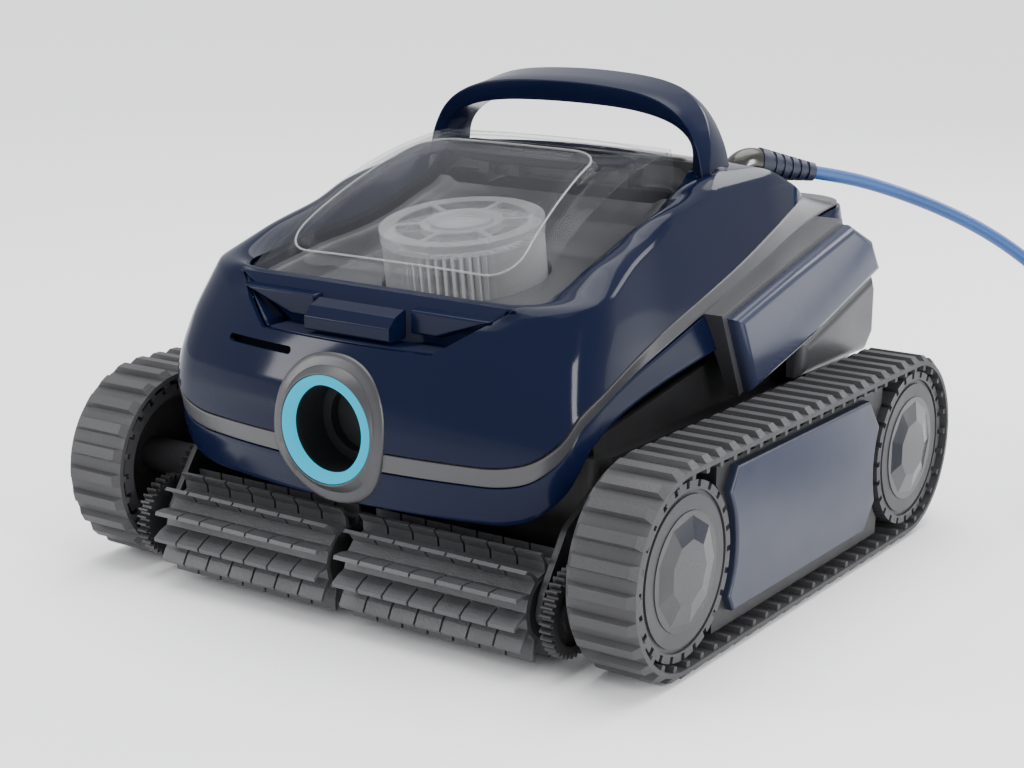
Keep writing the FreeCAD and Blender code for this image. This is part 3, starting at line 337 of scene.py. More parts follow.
CABLE_DIAMETER = 9.6
ROUTE = [
    (122.6, 180.1, 250.7),
    (140.6, 203.1, 245.6),
    (160.0, 228.0, 236.4),
    (181.0, 254.8, 224.2),
    (202.0, 281.6, 209.2),
    (221.8, 307.0, 191.4),
    (242.5, 329.5, 169.5),
    (266.0, 347.6, 144.0),
    (291.5, 360.0, 115.5),
    (318.0, 367.4, 85.5),
    (346.0, 371.0, 56.5),
    (377.0, 371.6, 32.0),
    (411.0, 368.6, 14.0),
]
COIL_CENTRE = (439.0, 257.0)
COIL_MIDDLE, COIL_COLUMNS, COIL_ROWS, COIL_LIFT = 81.8, 6, 4, 1.4
COIL_TURNS = 22.656
COIL_START = math.radians(86)
COIL_STEPS = 24  # points in each turn
TAIL = [
    (343.6, 222.3, 38.5),
    (341.0, 239.7, 42.5),
    (342.5, 257.0, 46.2),
    (346.9, 273.2, 49.6),
    (354.0, 288.0, 51.5),
    (362.8, 301.0, 51.8),
    (370.8, 310.3, 51.8),
]


def coil_points(turns):
    """Turns wound clockwise in layers, each layer spiralling in or out beside the last turn."""
    outermost = COIL_MIDDLE + (COIL_COLUMNS - 1) / 2 * CABLE_DIAMETER
    span = (COIL_COLUMNS - 1) * CABLE_DIAMETER
    points = []
    for step in range(round(turns * COIL_STEPS) + 1):
        turn = step / COIL_STEPS
        layer = min(int(turn / COIL_COLUMNS), COIL_ROWS - 1)
        inside = turn - layer * COIL_COLUMNS
        inward = min(inside, COIL_COLUMNS - 1) * CABLE_DIAMETER
        rise = max(0.0, inside - (COIL_COLUMNS - 1)) if layer < COIL_ROWS - 1 else 0.0
        rise = rise * rise * (3 - 2 * rise)
        radius = outermost - inward if layer % 2 == 0 else outermost - span + inward
        angle = COIL_START - 2 * math.pi * turn
        points.append((
            COIL_CENTRE[0] + radius * math.cos(angle),
            COIL_CENTRE[1] + radius * math.sin(angle),
            COIL_LIFT + CABLE_DIAMETER * (0.5 + layer + rise),
        ))
    return points


def make_cable():
    points = [*ROUTE, *coil_points(COIL_TURNS), *TAIL]
    data = bpy.data.curves.new("cable", "CURVE")
    data.dimensions, data.fill_mode = "3D", "FULL"
    data.bevel_depth, data.bevel_resolution, data.resolution_u = CABLE_DIAMETER / 2 * MM, 5, 4
    spline = data.splines.new("NURBS")
    spline.points.add(len(points) - 1)
    for control, point in zip(spline.points, points):
        control.co = (point[0] * MM, point[1] * MM, point[2] * MM, 1)
    spline.order_u = 3
    spline.use_endpoint_u = True
    data.materials.append(MATERIALS["cable_blue"])
    cable = bpy.data.objects.new("cable", data)
    bpy.context.collection.objects.link(cable)
    settle(cable, "hull", ["cord_run", "cord_coil"])


# Body skin


def smooth_curve(points):
    """Smooth function through points, without overshoot between them."""
    at = np.array([point[0] for point in points], float)
    value = np.array([point[1] for point in points], float)
    step, rise = np.diff(at), np.diff(value) / np.diff(at)
    slope = np.zeros(len(at))
    slope[0], slope[-1] = rise[0], rise[-1]
    for k in range(1, len(at) - 1):
        if rise[k - 1] * rise[k] > 0:
            a, b = 2 * step[k] + step[k - 1], step[k] + 2 * step[k - 1]
            slope[k] = (a + b) / (a / rise[k - 1] + b / rise[k])

    def curve(x):
        k = int(np.clip(np.searchsorted(at, x) - 1, 0, len(step) - 1))
        u = (min(max(x, at[0]), at[-1]) - at[k]) / step[k]
        return (
            value[k] * (1 + 2 * u) * (1 - u) ** 2
            + slope[k] * step[k] * u * (1 - u) ** 2
            + value[k + 1] * u * u * (3 - 2 * u)
            + slope[k + 1] * step[k] * u * u * (u - 1)
        )

    return curve


def fade(low, high, x):
    u = min(1.0, max(0.0, (x - low) / (high - low)))
    return u * u * (3 - 2 * u)


# Curves along the body's length, as y and z: the band's edges, the arch over the track, the fold between
# the walls and the rails, the rails' inner edge, and the body's top on its centre line
BAND_TOP = smooth_curve([
    (-226, 121), (-207, 121), (-191, 136), (-176, 154), (-150, 165), (-58, 186), (30, 206), (160, 238),
    (214, 245),
])
BAND_LOW = smooth_curve([
    (-226, 109), (-204, 109), (-189, 124), (-173, 144), (-146, 155), (-58, 177), (30, 196), (182, 226),
    (214, 227),
])
ARCH = smooth_curve([
    (-226, 84), (-196, 84), (-184, 104), (-168, 130), (-140, 142), (24, 166), (160, 196), (214, 204),
])
CREASE = smooth_curve([
    (-230, 194), (-187, 194), (-170, 205), (-137, 211), (-95, 225), (-60, 235), (-35, 246), (12, 255),
    (42, 264), (56, 263.5), (88, 262), (130, 248), (174, 230), (214, 226),
])
RAIL = smooth_curve([
    (-170, 207), (-160, 208), (-125, 215), (-90, 222), (-60, 226), (-25, 234), (0, 243), (20, 250), (40, 262),
    (60, 265),
])
TOP = smooth_curve([
    (-168, 208), (-118, 228), (-45, 254), (30, 273), (84, 268), (130, 249), (174, 231), (214, 228),
])
# Curves by height: half width of the upper and lower walls, and the front end of the nose
UPPER_HALF = smooth_curve([
    (84, 154), (120, 154), (180, 146), (200, 142), (211, 139), (225, 135), (246, 130), (255, 128), (264, 121),
    (275, 112),
])
LOWER_HALF = smooth_curve([(84, 154), (130, 154), (165, 149.5), (196, 145), (226, 139), (245, 134)])
FRONT = smooth_curve([
    (84, -209), (120, -218), (150, -215), (168, -210), (176, -207), (194, -197), (214, -186), (240, -170),
])
# How much narrower the upper walls are at y
TAPER = smooth_curve([(-230, -7), (-150, -6), (-60, 0), (90, 0), (130, 2), (174, 8), (214, 8)])
BOW, CORNER = 17.0, 32.0  # how far the nose's middle stands out, and the radius of its corners
UPPER_REAR, UPPER_REAR_CORNER = 174.0, 34.0
LOWER_REAR, LOWER_REAR_CORNER = 212.0, 36.0
SPLIT_Y, SPLIT_SHARE = 110.0, 0.8  # the lower and upper outlines run level up to this y, at this share

NOSE, BEND, SIDE, REAR_BEND, BACK = range(5)  # zones round the right-hand half of the outline
ZONE_STEPS = (56, 18, 84, 14, 22)


def stations():
    """Steps round the right-hand half of the outline, from the nose to the tail."""
    steps = []
    for zone, count in enumerate(ZONE_STEPS):
        steps += [(zone, step / count) for step in range(count)]
    return [*steps, (BACK, 1.0)]


STATIONS = stations()


def outline_point(station, half, front, rear, corner, rear_corner):
    zone, u = station
    chord, bow_end = half - corner, front + BOW
    radius = (chord**2 + BOW**2) / (2 * BOW)
    corner_y = bow_end + corner * chord / (radius - BOW)
    start, end = corner_y + corner, rear - rear_corner
    if zone == NOSE:
        x = chord * u
        return x, front + radius - math.sqrt(radius**2 - x**2)
    if zone == BEND:
        poles = ((chord, bow_end), (half, corner_y), (half, start))
    elif zone == SIDE and u < SPLIT_SHARE:
        return half, start + (SPLIT_Y - start) * u / SPLIT_SHARE
    elif zone == SIDE:
        return half, SPLIT_Y + (end - SPLIT_Y) * (u - SPLIT_SHARE) / (1 - SPLIT_SHARE)
    elif zone == REAR_BEND:
        poles = ((half, end), (half, rear), (half - rear_corner, rear))
    else:
        return (half - rear_corner) * (1 - u), rear
    return tuple((1 - u) ** 2 * a + 2 * u * (1 - u) * b + u * u * c for a, b, c in zip(*poles))


def lower_point(station, z):
    return outline_point(station, LOWER_HALF(z), FRONT(z), LOWER_REAR, CORNER, LOWER_REAR_CORNER)


def upper_point(station, z):
    x, y = outline_point(station, UPPER_HALF(z), FRONT(z), UPPER_REAR, CORNER, UPPER_REAR_CORNER)
    narrow = 1 - TAPER(y) / UPPER_HALF(z)
    return x * narrow, y


def on_edge(station, curve, point):
    """Where a station meets the edge whose height follows a curve along the body."""
    passes, first_y = 12, -200
    z = curve(first_y)
    for _ in range(passes):
        x, y = point(station, z)
        z = 0.5 * z + 0.5 * curve(y)
    return np.array([x, y, z])


def band_top_height(y):
    below_crease = 3.0
    return min(BAND_TOP(y), CREASE(y) - below_crease)


EDGES = []  # for each station: arch, band's lower edge, band's upper edge, crease
for each in STATIONS:
    EDGES.append((
        on_edge(each, ARCH, lower_point),
        on_edge(each, BAND_LOW, lower_point),
        on_edge(each, band_top_height, upper_point),
        on_edge(each, CREASE, upper_point),
    ))

SKIN = 2.6  # thickness of the body's skins
SKIRT_ROWS, BAND_ROWS, WALL_ROWS, RAIL_ROWS = 8, 7, 27, 19
SKIRT_GAP, BAND_GAP, WALL_GAP = 0.5, 0.3, 0.4  # what each skin keeps back from the seams along the band
RAIL_CREST, RAIL_EXTRA_CREST = 2.0, 5.0  # how far the deck bulges, and how much more the rails do


def whole_strip(name, rows, slot, replaces, bevel=0.5):
    """Mirrors rows of points to the left and makes a shell of them."""
    rows = [[(-x, y, z) for x, y, z in row] for row in rows[:0:-1]] + [list(map(tuple, row)) for row in rows]
    points = flat(rows)
    piece = place(name, points, grid_faces(len(rows), len(rows[0])), "hull", slot, replaces)
    add(piece, "SOLIDIFY", thickness=SKIN * MM, offset=-1.0, use_even_offset=False)
    if bevel:
        add(piece, "BEVEL", width=bevel * MM, segments=2, limit_method="ANGLE", angle_limit=math.radians(50))
    return piece


def between(start, end, count):
    return [start + (end - start) * k / (count - 1) for k in range(count)]


def saddle(x, y):
    """Height of the body's top behind the lid."""
    half = UPPER_HALF(CREASE(y)) - TAPER(y)
    return CREASE(y) + (TOP(y) - CREASE(y)) * (1 - min(1.0, (x / half) ** 2))


LID_FRONT, LID_REAR, LID_FRONT_HALF, LID_REAR_HALF, LID_CORNER = -167.0, 31.0, 116.0, 99.0, 20.0
HOLE_GAP, HOLE_REAR = 1.0, 56.0
HOLE_STRAIGHT, HOLE_NARROWING = 0.72, 0.12  # a side's share that follows the lid, and the rest's drawing in
HOLE_BEND = 0.3  # share of the rear edge that belongs to the outline's rear bend


def lid_half(y, grow=0.0):
    """Half width of the lid at y, with its rounded front corners."""
    share = (y - LID_FRONT) / (LID_REAR - LID_FRONT)
    half = LID_FRONT_HALF + (LID_REAR_HALF - LID_FRONT_HALF) * share + grow
    inside = y - (LID_FRONT - grow)
    if inside < LID_CORNER:
        half -= LID_CORNER - math.sqrt(max(0.0, LID_CORNER**2 - (LID_CORNER - max(0.0, inside)) ** 2))
    return half


def hole_point(station):
    """Point of the lid's opening that a station of the outline runs in to."""
    zone, u = station
    front, straight = LID_FRONT - HOLE_GAP, LID_FRONT_HALF + HOLE_GAP - LID_CORNER
    if zone == NOSE:
        return straight * u, front
    if zone == BEND:
        y = front + LID_CORNER * (1 - math.cos(u * math.pi / 2))
        return lid_half(y, HOLE_GAP), y
    if zone == SIDE:
        y = front + LID_CORNER + (HOLE_REAR - front - LID_CORNER) * min(1.0, u / HOLE_STRAIGHT)
        past = max(0.0, (u - HOLE_STRAIGHT) / (1 - HOLE_STRAIGHT))
        return lid_half(y, HOLE_GAP) * (1 - HOLE_NARROWING * past), y
    reach = lid_half(HOLE_REAR, HOLE_GAP) * (1 - HOLE_NARROWING)
    share = HOLE_BEND * u if zone == REAR_BEND else HOLE_BEND + (1 - HOLE_BEND) * u
    return reach * (1 - share), HOLE_REAR


def skirt_column(station, arch, band_low):
    heights = np.linspace(arch[2], band_low[2] - SKIRT_GAP, SKIRT_ROWS)
    return [(*lower_point(station, z), z) for z in heights]


def band_column(band_low, band_top):
    gap = np.array([0, 0, BAND_GAP])
    return [tuple(point) for point in between(band_low + gap, band_top - gap, BAND_ROWS)]


def wall_column(station, band_top, crease):
    heights = np.linspace(band_top[2] + WALL_GAP, crease[2], WALL_ROWS)
    return [(*upper_point(station, z), z) for z in heights]


def rail_column(station, crease):
    """From the crease over the deck or the rail to the lid's opening."""
    hole_x, hole_y = hole_point(station)
    behind = station[0] > SIDE or hole_y >= HOLE_REAR
    end_z = saddle(hole_x, hole_y) if behind else RAIL(hole_y)
    column = []
    for share in np.linspace(0, 1, RAIL_ROWS)[1:]:
        x = crease[0] + (hole_x - crease[0]) * share
        y = crease[1] + (hole_y - crease[1]) * share
        crest = RAIL_CREST + RAIL_EXTRA_CREST * fade(-165, -110, y) * (1 - fade(0, 45, y))
        z = crease[2] + (end_z - crease[2]) * share + crest * 4 * share * (1 - share)
        z += (saddle(x, y) - z) * fade(40, 66, y)
        column.append((x, y, z))
    return column


def make_body():
    skirt, band, upper = [], [], []
    for station, (arch, band_low, band_top, crease) in zip(STATIONS, EDGES):
        skirt.append(skirt_column(station, arch, band_low))
        band.append(band_column(band_low, band_top))
        upper.append(wall_column(station, band_top, crease) + rail_column(station, crease))
    return [
        whole_strip("upper_skin", upper, "navy_gloss", ["upper_shell"], bevel=0),
        whole_strip("band_skin", band, "grey_satin", ["trim_band"]),
        whole_strip("lower_skin", skirt, "navy_satin", ["lower_shell"]),
    ]


# Handle

HANDLE_FRONT, HANDLE_REAR = 36.0, 73.0
# Right-hand half of the arch as x and z, from its foot to its middle
ARCH_FRONT_OUTER = [
    (114, 250), (110.5, 266), (107, 280), (99, 295), (86, 306), (67, 313.5), (40, 317.5), (0, 319),
]
ARCH_FRONT_INNER = [(101, 250), (101, 266), (100, 280), (95, 288), (84, 295), (66, 300), (40, 303), (0, 304)]
ARCH_REAR_OUTER = [(116, 250), (112.5, 266), (108, 281), (99, 297), (87, 309), (70, 318), (44, 323), (0, 325)]
ARCH_REAR_INNER = [(102, 250), (101, 266), (99, 280), (92, 290), (80, 298), (64, 304), (40, 307.5), (0, 309)]
HANDLE_STEPS = 96


def arch_curve(right):
    """Even points along an arch, from its right-hand foot over the top to its left-hand foot."""
    points = np.array([*right, *[(-x, z) for x, z in right[-2::-1]]], float)
    dense = []
    for k in range(len(points) - 1):
        before, here = points[max(k - 1, 0)], points[k]
        there, after = points[k + 1], points[min(k + 2, len(points) - 1)]
        for u in np.arange(0, 1, 0.05):
            dense.append(0.5 * (
                2 * here + (there - before) * u + (2 * before - 5 * here + 4 * there - after) * u**2
                + (3 * here - before - 3 * there + after) * u**3
            ))
    dense.append(points[-1])
    dense = np.array(dense)
    along = np.concatenate([[0], np.cumsum(np.linalg.norm(np.diff(dense, axis=0), axis=1))])
    even = np.linspace(0, along[-1], HANDLE_STEPS + 1)
    return np.stack([np.interp(even, along, dense[:, 0]), np.interp(even, along, dense[:, 1])], axis=1)


def handle_section(down, front_outer, rear_outer, rear_inner, front_inner):
    """Corners of one section. The ridge runs from the rear edge at the top to the front edge at the feet."""
    share = 0.97 - 0.83 * fade(0.40, 0.98, down)
    bulge = 3.6 * fade(0.38, 0.62, down) * 4 * share * (1 - share) + 0.2
    ridge = front_outer + (rear_outer - front_outer) * share
    outward = math.copysign(bulge, ridge[0]) if abs(ridge[0]) > 5 else 0
    ridge = ridge + np.array([outward, bulge * 0.25])
    facet, under = (front_outer + ridge) / 2, (rear_inner + front_inner) / 2
    ridge_depth = (HANDLE_REAR - HANDLE_FRONT) * share
    return [
        (front_outer[0], HANDLE_FRONT, front_outer[1]),
        (facet[0], HANDLE_FRONT + ridge_depth / 2, facet[1] - 0.4),
        (ridge[0], HANDLE_FRONT + ridge_depth, ridge[1]),
        (rear_outer[0], HANDLE_REAR, rear_outer[1]),
        (rear_inner[0], HANDLE_REAR - 1, rear_inner[1]),
        (under[0], (HANDLE_REAR + HANDLE_FRONT) / 2 + 2, under[1]),
        (front_inner[0], HANDLE_FRONT + 6.0, front_inner[1]),
    ]


def make_handle():
    edges = (ARCH_FRONT_OUTER, ARCH_REAR_OUTER, ARCH_REAR_INNER, ARCH_FRONT_INNER)
    arches = [arch_curve(edge) for edge in edges]
    rows = []
    for k in range(HANDLE_STEPS + 1):
        down = abs(2 * k / HANDLE_STEPS - 1)  # 0 at the top of the arch and 1 at a foot
        rows.append(handle_section(down, *[arch[k] for arch in arches]))
    points = flat(rows)
    count = len(rows[0])
    faces = grid_faces(len(rows), count, wrap_columns=True, flip=True)
    faces += [tuple(range(count)), tuple(range(len(points) - 1, len(points) - 1 - count, -1))]
    piece = place("handle_arch", points, faces, "hull", "navy_satin", ["handle"])
    add(piece, "BEVEL", width=1.1 * MM, segments=3, limit_method="ANGLE", angle_limit=math.radians(14))


# Lid

LID_TOP = smooth_curve([
    (-170, 206), (-167, 208), (-158, 212.5), (-120, 236), (-77, 256), (-45, 267), (-11, 275), (31, 280),
    (50, 280),
])
LID_CROWN, LID_FRONT_DROP, LID_REAR_CORNER = 1.6, 1.5, 14.0
LID_FOLD = 0.925  # share of the half width where the lid folds down to the rails
WINDOW_FRONT, WINDOW_REAR, WINDOW_CORNER = -159.0, -16.0, 26.0
WINDOW_FRONT_HALF, WINDOW_REAR_HALF = 95.0, 72.0
WINDOW_MIDDLE = (WINDOW_FRONT + WINDOW_REAR) / 2
WINDOW_RISE, WINDOW_DISH = 7.0, 1.6
RECESS_MIDDLE, RECESS_LONG, RECESS_WIDE, RECESS_DEPTH, RECESS_LIP = 8.0, 77.0, 17.0, 9.0, 1.2
RECESS_END_POWER, RECESS_SIDE_POWER = 2.6, 2.2  # of the recess's superellipse


def window_inside(x, y):
    """How far a point is inside the window's outline. Negative outside it."""
    share = (y - WINDOW_FRONT) / (WINDOW_REAR - WINDOW_FRONT)
    half = WINDOW_FRONT_HALF + (WINDOW_REAR_HALF - WINDOW_FRONT_HALF) * share
    dx = abs(x) - half + WINDOW_CORNER
    dy = abs(y - WINDOW_MIDDLE) - (WINDOW_REAR - WINDOW_FRONT) / 2 + WINDOW_CORNER
    outside = math.hypot(max(dx, 0), max(dy, 0)) + min(max(dx, dy), 0.0)
    return WINDOW_CORNER - outside


def lid_height(x, y):
    edge = abs(x) / lid_half(y)
    height = LID_TOP(y) + LID_CROWN * (1 - min(1, edge) ** 2)
    height += (RAIL(y) - 1.0 - height) * min(1.0, max(0.0, (edge - LID_FOLD) / (1 - LID_FOLD)))
    deep = window_inside(x, y)
    height += WINDOW_RISE * fade(-1.5, 6.0, deep) - WINDOW_DISH * fade(7.0, 15.0, deep)
    across, along = abs(x / RECESS_LONG), abs((y - RECESS_MIDDLE) / RECESS_WIDE)
    oval = 1 - (across**RECESS_END_POWER + along**RECESS_SIDE_POWER)
    height -= RECESS_DEPTH * fade(-0.10, 0.42, oval)
    height += RECESS_LIP * fade(-0.32, -0.08, oval) * (1 - fade(-0.08, 0.10, oval))
    height -= LID_FRONT_DROP * (1 - fade(0, 5, y - LID_FRONT))
    return height


def rear_round(y):
    """How much the lid's rounded rear corners narrow it at y."""
    to_arc = LID_REAR_CORNER - max(0.0, LID_REAR - y)
    return LID_REAR_CORNER - math.sqrt(LID_REAR_CORNER**2 - to_arc**2) if to_arc >= 0 else 0.0


def crowded_columns(count, crowding):
    """Even steps from -1 to 1, drawn closer together towards both ends."""
    steps = [2 * column / (count - 1) - 1 for column in range(count)]
    return [u * (1 + crowding - crowding * u * u) for u in steps]


def make_lid():
    columns, rows = crowded_columns(131, 0.16), 141
    points = []
    for row in range(rows):
        share = row / (rows - 1)
        y = LID_FRONT + (LID_REAR - LID_FRONT) * (share - 0.06 * math.sin(2 * math.pi * share) / math.pi)
        half = lid_half(y) - rear_round(y)
        points += [(u * half, y, lid_height(u * half, y)) for u in columns]
    piece = place("lid_canopy", points, grid_faces(rows, len(columns)), "lid_cover", "clear_lid", ["lid"])
    add(piece, "SOLIDIFY", thickness=2.6 * MM, offset=-1.0, use_even_offset=False)
    add(piece, "BEVEL", width=0.9 * MM, segments=3, limit_method="ANGLE", angle_limit=math.radians(55))


def make_hinge_strip():
    """Black strip behind the lid, with a cove in front of it for the lid's rear edge to swing in."""
    section = [
        (33.5, -17.5), (37.0, -16.5), (43.0, -13.5), (47.4, -6.0), (49.0, -0.4), (51.0, 0.3),
        (HOLE_REAR - 0.4, 0.0),
    ]
    half, columns, crown, shoulder = 98, 60, 271.5, 6.0
    rows = []
    for x in np.linspace(-half, half, columns):
        top = crown - shoulder * fade(86, 99, abs(x))
        rows.append([(x, y, top + down) for y, down in section])
    points = flat(rows)
    faces = grid_faces(columns, len(section), flip=True)
    strip = place("hinge_strip", points, faces, "hull", "black_plastic")
    add(strip, "SOLIDIFY", thickness=2.0 * MM, offset=-1.0)
    add(strip, "BEVEL", width=0.4 * MM, segments=2, limit_method="ANGLE", angle_limit=math.radians(40))


def make_recess_shade_sheet():
    """Dark sheet under the lid's oval recess: painted shade in the recess, and also standing in for the dark
    parts seen below it.
    """
    rings, spokes, reach, below = 10, 96, 0.96, 2.9
    points = []
    for ring in range(1, rings + 1):
        share = reach * ring / rings
        for spoke in range(spokes):
            angle = 2 * math.pi * spoke / spokes
            c, s = math.cos(angle), math.sin(angle)
            x = math.copysign(abs(c) ** (2 / RECESS_END_POWER), c) * RECESS_LONG * share
            y = RECESS_MIDDLE + math.copysign(abs(s) ** (2 / RECESS_SIDE_POWER), s) * RECESS_WIDE * share
            points.append((x, y, lid_height(x, y) - below))
    faces = grid_faces(rings, spokes, wrap_columns=True, flip=True)
    faces.append(tuple(range(spokes)))
    shade_sheet = place("recess_shade_sheet", points, faces, "lid_cover", "dark_window")
    add(shade_sheet, "SOLIDIFY", thickness=0.8 * MM, offset=-1.0)


def window_outline(inset, count):
    """Points at even turns about the window's middle, inset from its outline."""
    points = []
    for k in range(count):
        angle = 2 * math.pi * k / count
        low, high, halvings = 10.0, 140.0, 24
        for _ in range(halvings):
            reach = (low + high) / 2
            if window_inside(reach * math.cos(angle), WINDOW_MIDDLE + reach * math.sin(angle)) > inset:
                low = reach
            else:
                high = reach
        points.append((low * math.cos(angle), WINDOW_MIDDLE + low * math.sin(angle)))
    return points


def make_window_highlight_bead():
    """Rounded bead along the window's shoulder, in the brighter clear grey: a painted highlight along the
    window's edge.
    """
    count, sides, radius, lift = 180, 8, 0.7, 0.3
    outline = window_outline(4.5, count)
    points = []
    for k, (x, y) in enumerate(outline):
        ahead, behind = outline[(k + 1) % count], outline[k - 1]
        along = np.array([ahead[0] - behind[0], ahead[1] - behind[1]])
        out = np.array([along[1], -along[0]]) / np.linalg.norm(along)
        z = lid_height(x, y)
        for side in range(sides):
            turn = 2 * math.pi * side / sides
            reach = radius * math.cos(turn)
            points.append((x + out[0] * reach, y + out[1] * reach, z + lift + radius * math.sin(turn)))
    faces = grid_faces(count, sides, wrap_rows=True, wrap_columns=True)
    place("window_highlight_bead", points, faces, "lid_cover", "clear_frame")


# Tray under the lid

TRAY_GAP = 4.0  # between the tray's edge and the lid's
TRAY_FLOOR, TRAY_SLOPE, TRAY_REAR_RISE = 188.0, 0.16, 34.0
LEDGE_DROP, LEDGE_STEP = 7.0, 4.0  # of the ledge below the rails, and at least of the floor below the ledge
WELL_RADIUS, WELL_Y, WELL_SIDES = 55.5, -74.0, 72


def tray_height(x, y):
    """The tray's basin: a ledge under the lid's rim, walls, and a floor that rises at the rear."""
    floor = TRAY_FLOOR + TRAY_SLOPE * (y + 160) + TRAY_REAR_RISE * fade(-22, 18, y)
    ledge = RAIL(y) - LEDGE_DROP
    from_side, from_front = lid_half(y, -TRAY_GAP) - abs(x) - 7.0, y - LID_FRONT - 9.0
    inside = fade(0.0, 9.0, from_side) * fade(0.0, 8.0, from_front)
    return ledge + (min(floor, ledge - LEDGE_STEP) - ledge) * inside


def well_ring(z):
    turns = [2 * math.pi * k / WELL_SIDES for k in range(WELL_SIDES)]
    return [(WELL_RADIUS * math.cos(turn), WELL_Y + WELL_RADIUS * math.sin(turn), z) for turn in turns]


def make_tray():
    columns, rows = crowded_columns(101, 0.2), 90
    points = []
    for y in np.linspace(LID_FRONT + TRAY_GAP, LID_REAR - TRAY_GAP, rows):
        half = lid_half(y, -TRAY_GAP)
        points += [(u * half, y, tray_height(u * half, y)) for u in columns]
    tray = place("tray_basin", points, grid_faces(rows, len(columns)), "hull", "tray_grey", ["filter_tray"])
    add(tray, "SOLIDIFY", thickness=2.0 * MM, offset=-1.0)
    cut([tray], well_ring(240), well_ring(150))
    crease_by_angle(tray, 40)


# Front port, slot and latch

BEZEL_HALF, BEZEL_UP, BEZEL_DOWN = 42.5, 46.0, 48.0
BEZEL_POWER = 2.25  # of the bezel's superellipse
OPENING_INSET, OPENING_SIDES = 2.0, 64
SLOT_MIDDLE, SLOT_HALF, SLOT_RADIUS, SLOT_Z, SLOT_SIDES = -64, 26, 2.4, 171.5, 24
POCKET_LOW, POCKET_HIGH, POCKET_TOP = (65.0, 181.0), (105.0, 208.0), (126, 222)  # half widths and heights
POCKET_BACK = -176.0


def wall_y(x, z):
    """The nose's face at a point."""
    radius = ((UPPER_HALF(z) - CORNER) ** 2 + BOW**2) / (2 * BOW)
    return FRONT(z) + radius - math.sqrt(radius**2 - x**2)


def egg_point(angle, inset=0.0):
    """Point of the bezel's oval about the port's middle, with superellipse shoulders."""
    c, s = math.cos(angle), math.sin(angle)
    power = 2 / BEZEL_POWER
    x = math.copysign(abs(c) ** power, c) * (BEZEL_HALF - inset)
    z = math.copysign(abs(s) ** power, s) * ((BEZEL_UP if s > 0 else BEZEL_DOWN) - inset)
    return x, z


def make_bezel():
    steps, seat = 120, RING_OUTER + 0.1
    # The outer edge, as shares of the oval and depths behind the nose's face
    edge = [(1.0, 1.2), (1.0, -2.6), (0.985, -4.0), (0.93, -4.7), (0.84, -4.3)]
    # The inner edge, as radii and depths behind the port's face
    inner = [(RING_OUTER + 1.2, 0.9), (seat, 1.6), (seat, 8.0)]
    rows = []
    for k in range(steps):
        angle = 2 * math.pi * k / steps
        oval_x, oval_z = egg_point(angle)
        row = []
        for share, depth in edge:
            x, z = oval_x * share, PORT_Z + oval_z * share
            row.append((x, wall_y(x, z) + depth, z))
        for radius, depth in inner:
            row.append((radius * math.cos(angle), PORT_FACE + depth, PORT_Z + radius * math.sin(angle)))
        rows.append(row)
    points = flat(rows)
    faces = grid_faces(steps, len(rows[0]), wrap_rows=True)
    bezel = place("bezel_rim", points, faces, "hull", "bezel_grey", ["front_bezel"])
    add(bezel, "BEVEL", width=0.5 * MM, segments=2, limit_method="ANGLE", angle_limit=math.radians(35))


def make_ring_light():
    steps = 96
    section = [
        (RING_OUTER, 7.0), (RING_OUTER, 1.6), (33.0, 0.4), (31.8, -0.3), (30.2, -0.4), (28.8, 0.2),
        (27.8, 1.4), (RING_INNER, 3.2), (RING_INNER, 7.0),
    ]
    points = []
    for k in range(steps):
        angle = 2 * math.pi * k / steps
        for radius, depth in section:
            points.append((radius * math.cos(angle), PORT_FACE + depth, PORT_Z + radius * math.sin(angle)))
    faces = grid_faces(steps, len(section), wrap_rows=True, wrap_columns=True)
    place("port_glow", points, faces, "hull", "ring_light", ["led_ring"])


def port_ring(y):
    turns = [2 * math.pi * k / OPENING_SIDES for k in range(OPENING_SIDES)]
    eggs = [egg_point(turn, OPENING_INSET) for turn in turns]
    return [(x, y, PORT_Z + z) for x, z in eggs]


def slot_ring(y):
    ring = []
    for k in range(SLOT_SIDES):
        c, s = math.cos(2 * math.pi * k / SLOT_SIDES), math.sin(2 * math.pi * k / SLOT_SIDES)
        middle = SLOT_MIDDLE + math.copysign(SLOT_HALF, c)
        ring.append((middle + SLOT_RADIUS * c, y, SLOT_Z + SLOT_RADIUS * s))
    return ring


def pocket_ring(y):
    low, top = POCKET_LOW, POCKET_TOP
    return [(-low[0], y, low[1]), (low[0], y, low[1]), (top[0], y, top[1]), (-top[0], y, top[1])]


def cut_openings(skins):
    """Cuts the port out of the skins, and the slot and the latch's recess out of the top one."""
    cut(skins, port_ring(-250), port_ring(-196))
    cut(skins[:1], slot_ring(-235), slot_ring(-170))
    cut(skins[:1], pocket_ring(-250), pocket_ring(POCKET_BACK + 0.4))
    for skin in skins:
        crease_by_angle(skin, 32)


LATCH_GAP = 0.3  # between the recess's lining and the opening
LATCH_LOW, LATCH_TOP = POCKET_LOW[1] + LATCH_GAP, 209.0
LATCH_WALL, CHEEK_WALL = 2.2, 1.6
PAD_INNER, PAD_THICKNESS, PAD_SLOPE = 36.0, 8.0, 1.4


def latch_half(z):
    """Half width of the recess at a height."""
    slope = (POCKET_HIGH[0] - POCKET_LOW[0]) / (POCKET_HIGH[1] - POCKET_LOW[1])
    return POCKET_LOW[0] - LATCH_GAP + slope * (z - LATCH_LOW)


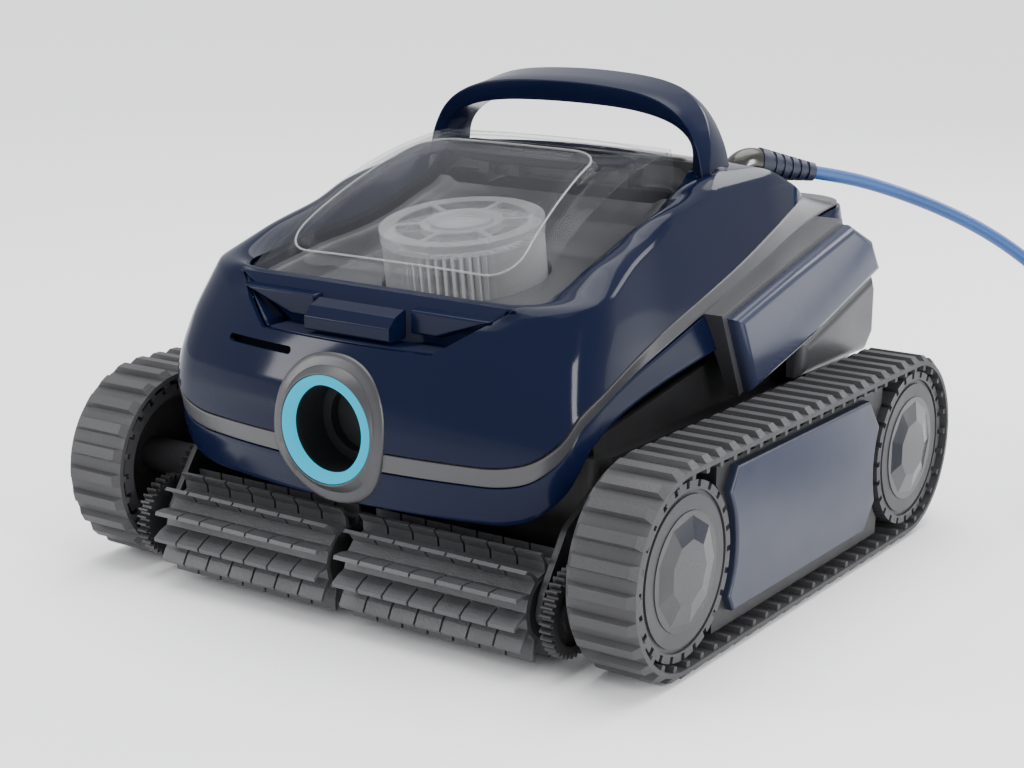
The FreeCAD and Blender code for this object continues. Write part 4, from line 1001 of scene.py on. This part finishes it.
def make_latch_tray():
    """Bottom and back of the recess."""
    columns, sill = 41, 1.5
    points = []
    for share in np.linspace(-1, 1, columns):
        x_low, x_top = share * latch_half(LATCH_LOW), share * latch_half(LATCH_TOP)
        points += [
            (x_low, wall_y(x_low, LATCH_LOW + 1) + sill, LATCH_LOW),
            (x_low, POCKET_BACK, LATCH_LOW),
            (x_top, POCKET_BACK, LATCH_TOP),
        ]
    faces = grid_faces(columns, 3, flip=True)
    tray = place("latch_tray", points, faces, "hull", "navy_satin", ["latch_housing"])
    add(tray, "SOLIDIFY", thickness=LATCH_WALL * MM, offset=-1.0)


def make_latch_cheek(side, name):
    """Sloping end of the recess."""
    count, sill = 8, 1.2
    points = []
    for share in np.linspace(0, 1, count):
        for z in np.linspace(LATCH_LOW, LATCH_TOP - 2, count):
            x = side * latch_half(z)
            front = wall_y(x, z) + sill
            points.append((x, front + (POCKET_BACK - front) * share, z))
    cheek = place(name, points, grid_faces(count, count, flip=side < 0), "hull", "navy_satin")
    add(cheek, "SOLIDIFY", thickness=CHEEK_WALL * MM, offset=-1.0)


def make_latch_pad(side, name):
    """Raised pad beside the button, with sloping edges."""
    back = POCKET_BACK - 1.0
    block = []
    for y, inset in ((back, 0.0), (back - PAD_THICKNESS, PAD_SLOPE)):
        inner, low, high = side * (PAD_INNER + inset), LATCH_LOW + 5 + inset, LATCH_TOP - 6 - inset
        block += [
            (inner, y, low),
            (side * (latch_half(LATCH_LOW) - 7 - inset), y, low),
            (side * (latch_half(LATCH_TOP) - 9 - inset), y, high),
            (inner, y, high),
        ]
    faces = [(0, 1, 2, 3), (7, 6, 5, 4), (0, 4, 5, 1), (1, 5, 6, 2), (2, 6, 7, 3), (3, 7, 4, 0)]
    if side > 0:
        faces = [face[::-1] for face in faces]
    pad = place(name, block, faces, "hull", "navy_satin", smooth=False)
    add(pad, "BEVEL", width=1.2 * MM, segments=3, limit_method="ANGLE", angle_limit=math.radians(30))


def make_latch():
    """Recess with a pad on either side of the button."""
    make_latch_tray()
    for side, word in ((-1, "left"), (1, "right")):
        make_latch_cheek(side, f"latch_cheek_{word}")
        make_latch_pad(side, f"latch_pad_{word}")


make_camera()
make_stage()
dress_frame()
make_cable()
cut_openings(make_body())
make_handle()
make_lid()
make_recess_shade_sheet()
make_window_highlight_bead()
make_tray()
make_hinge_strip()
make_bezel()
make_ring_light()
make_latch()
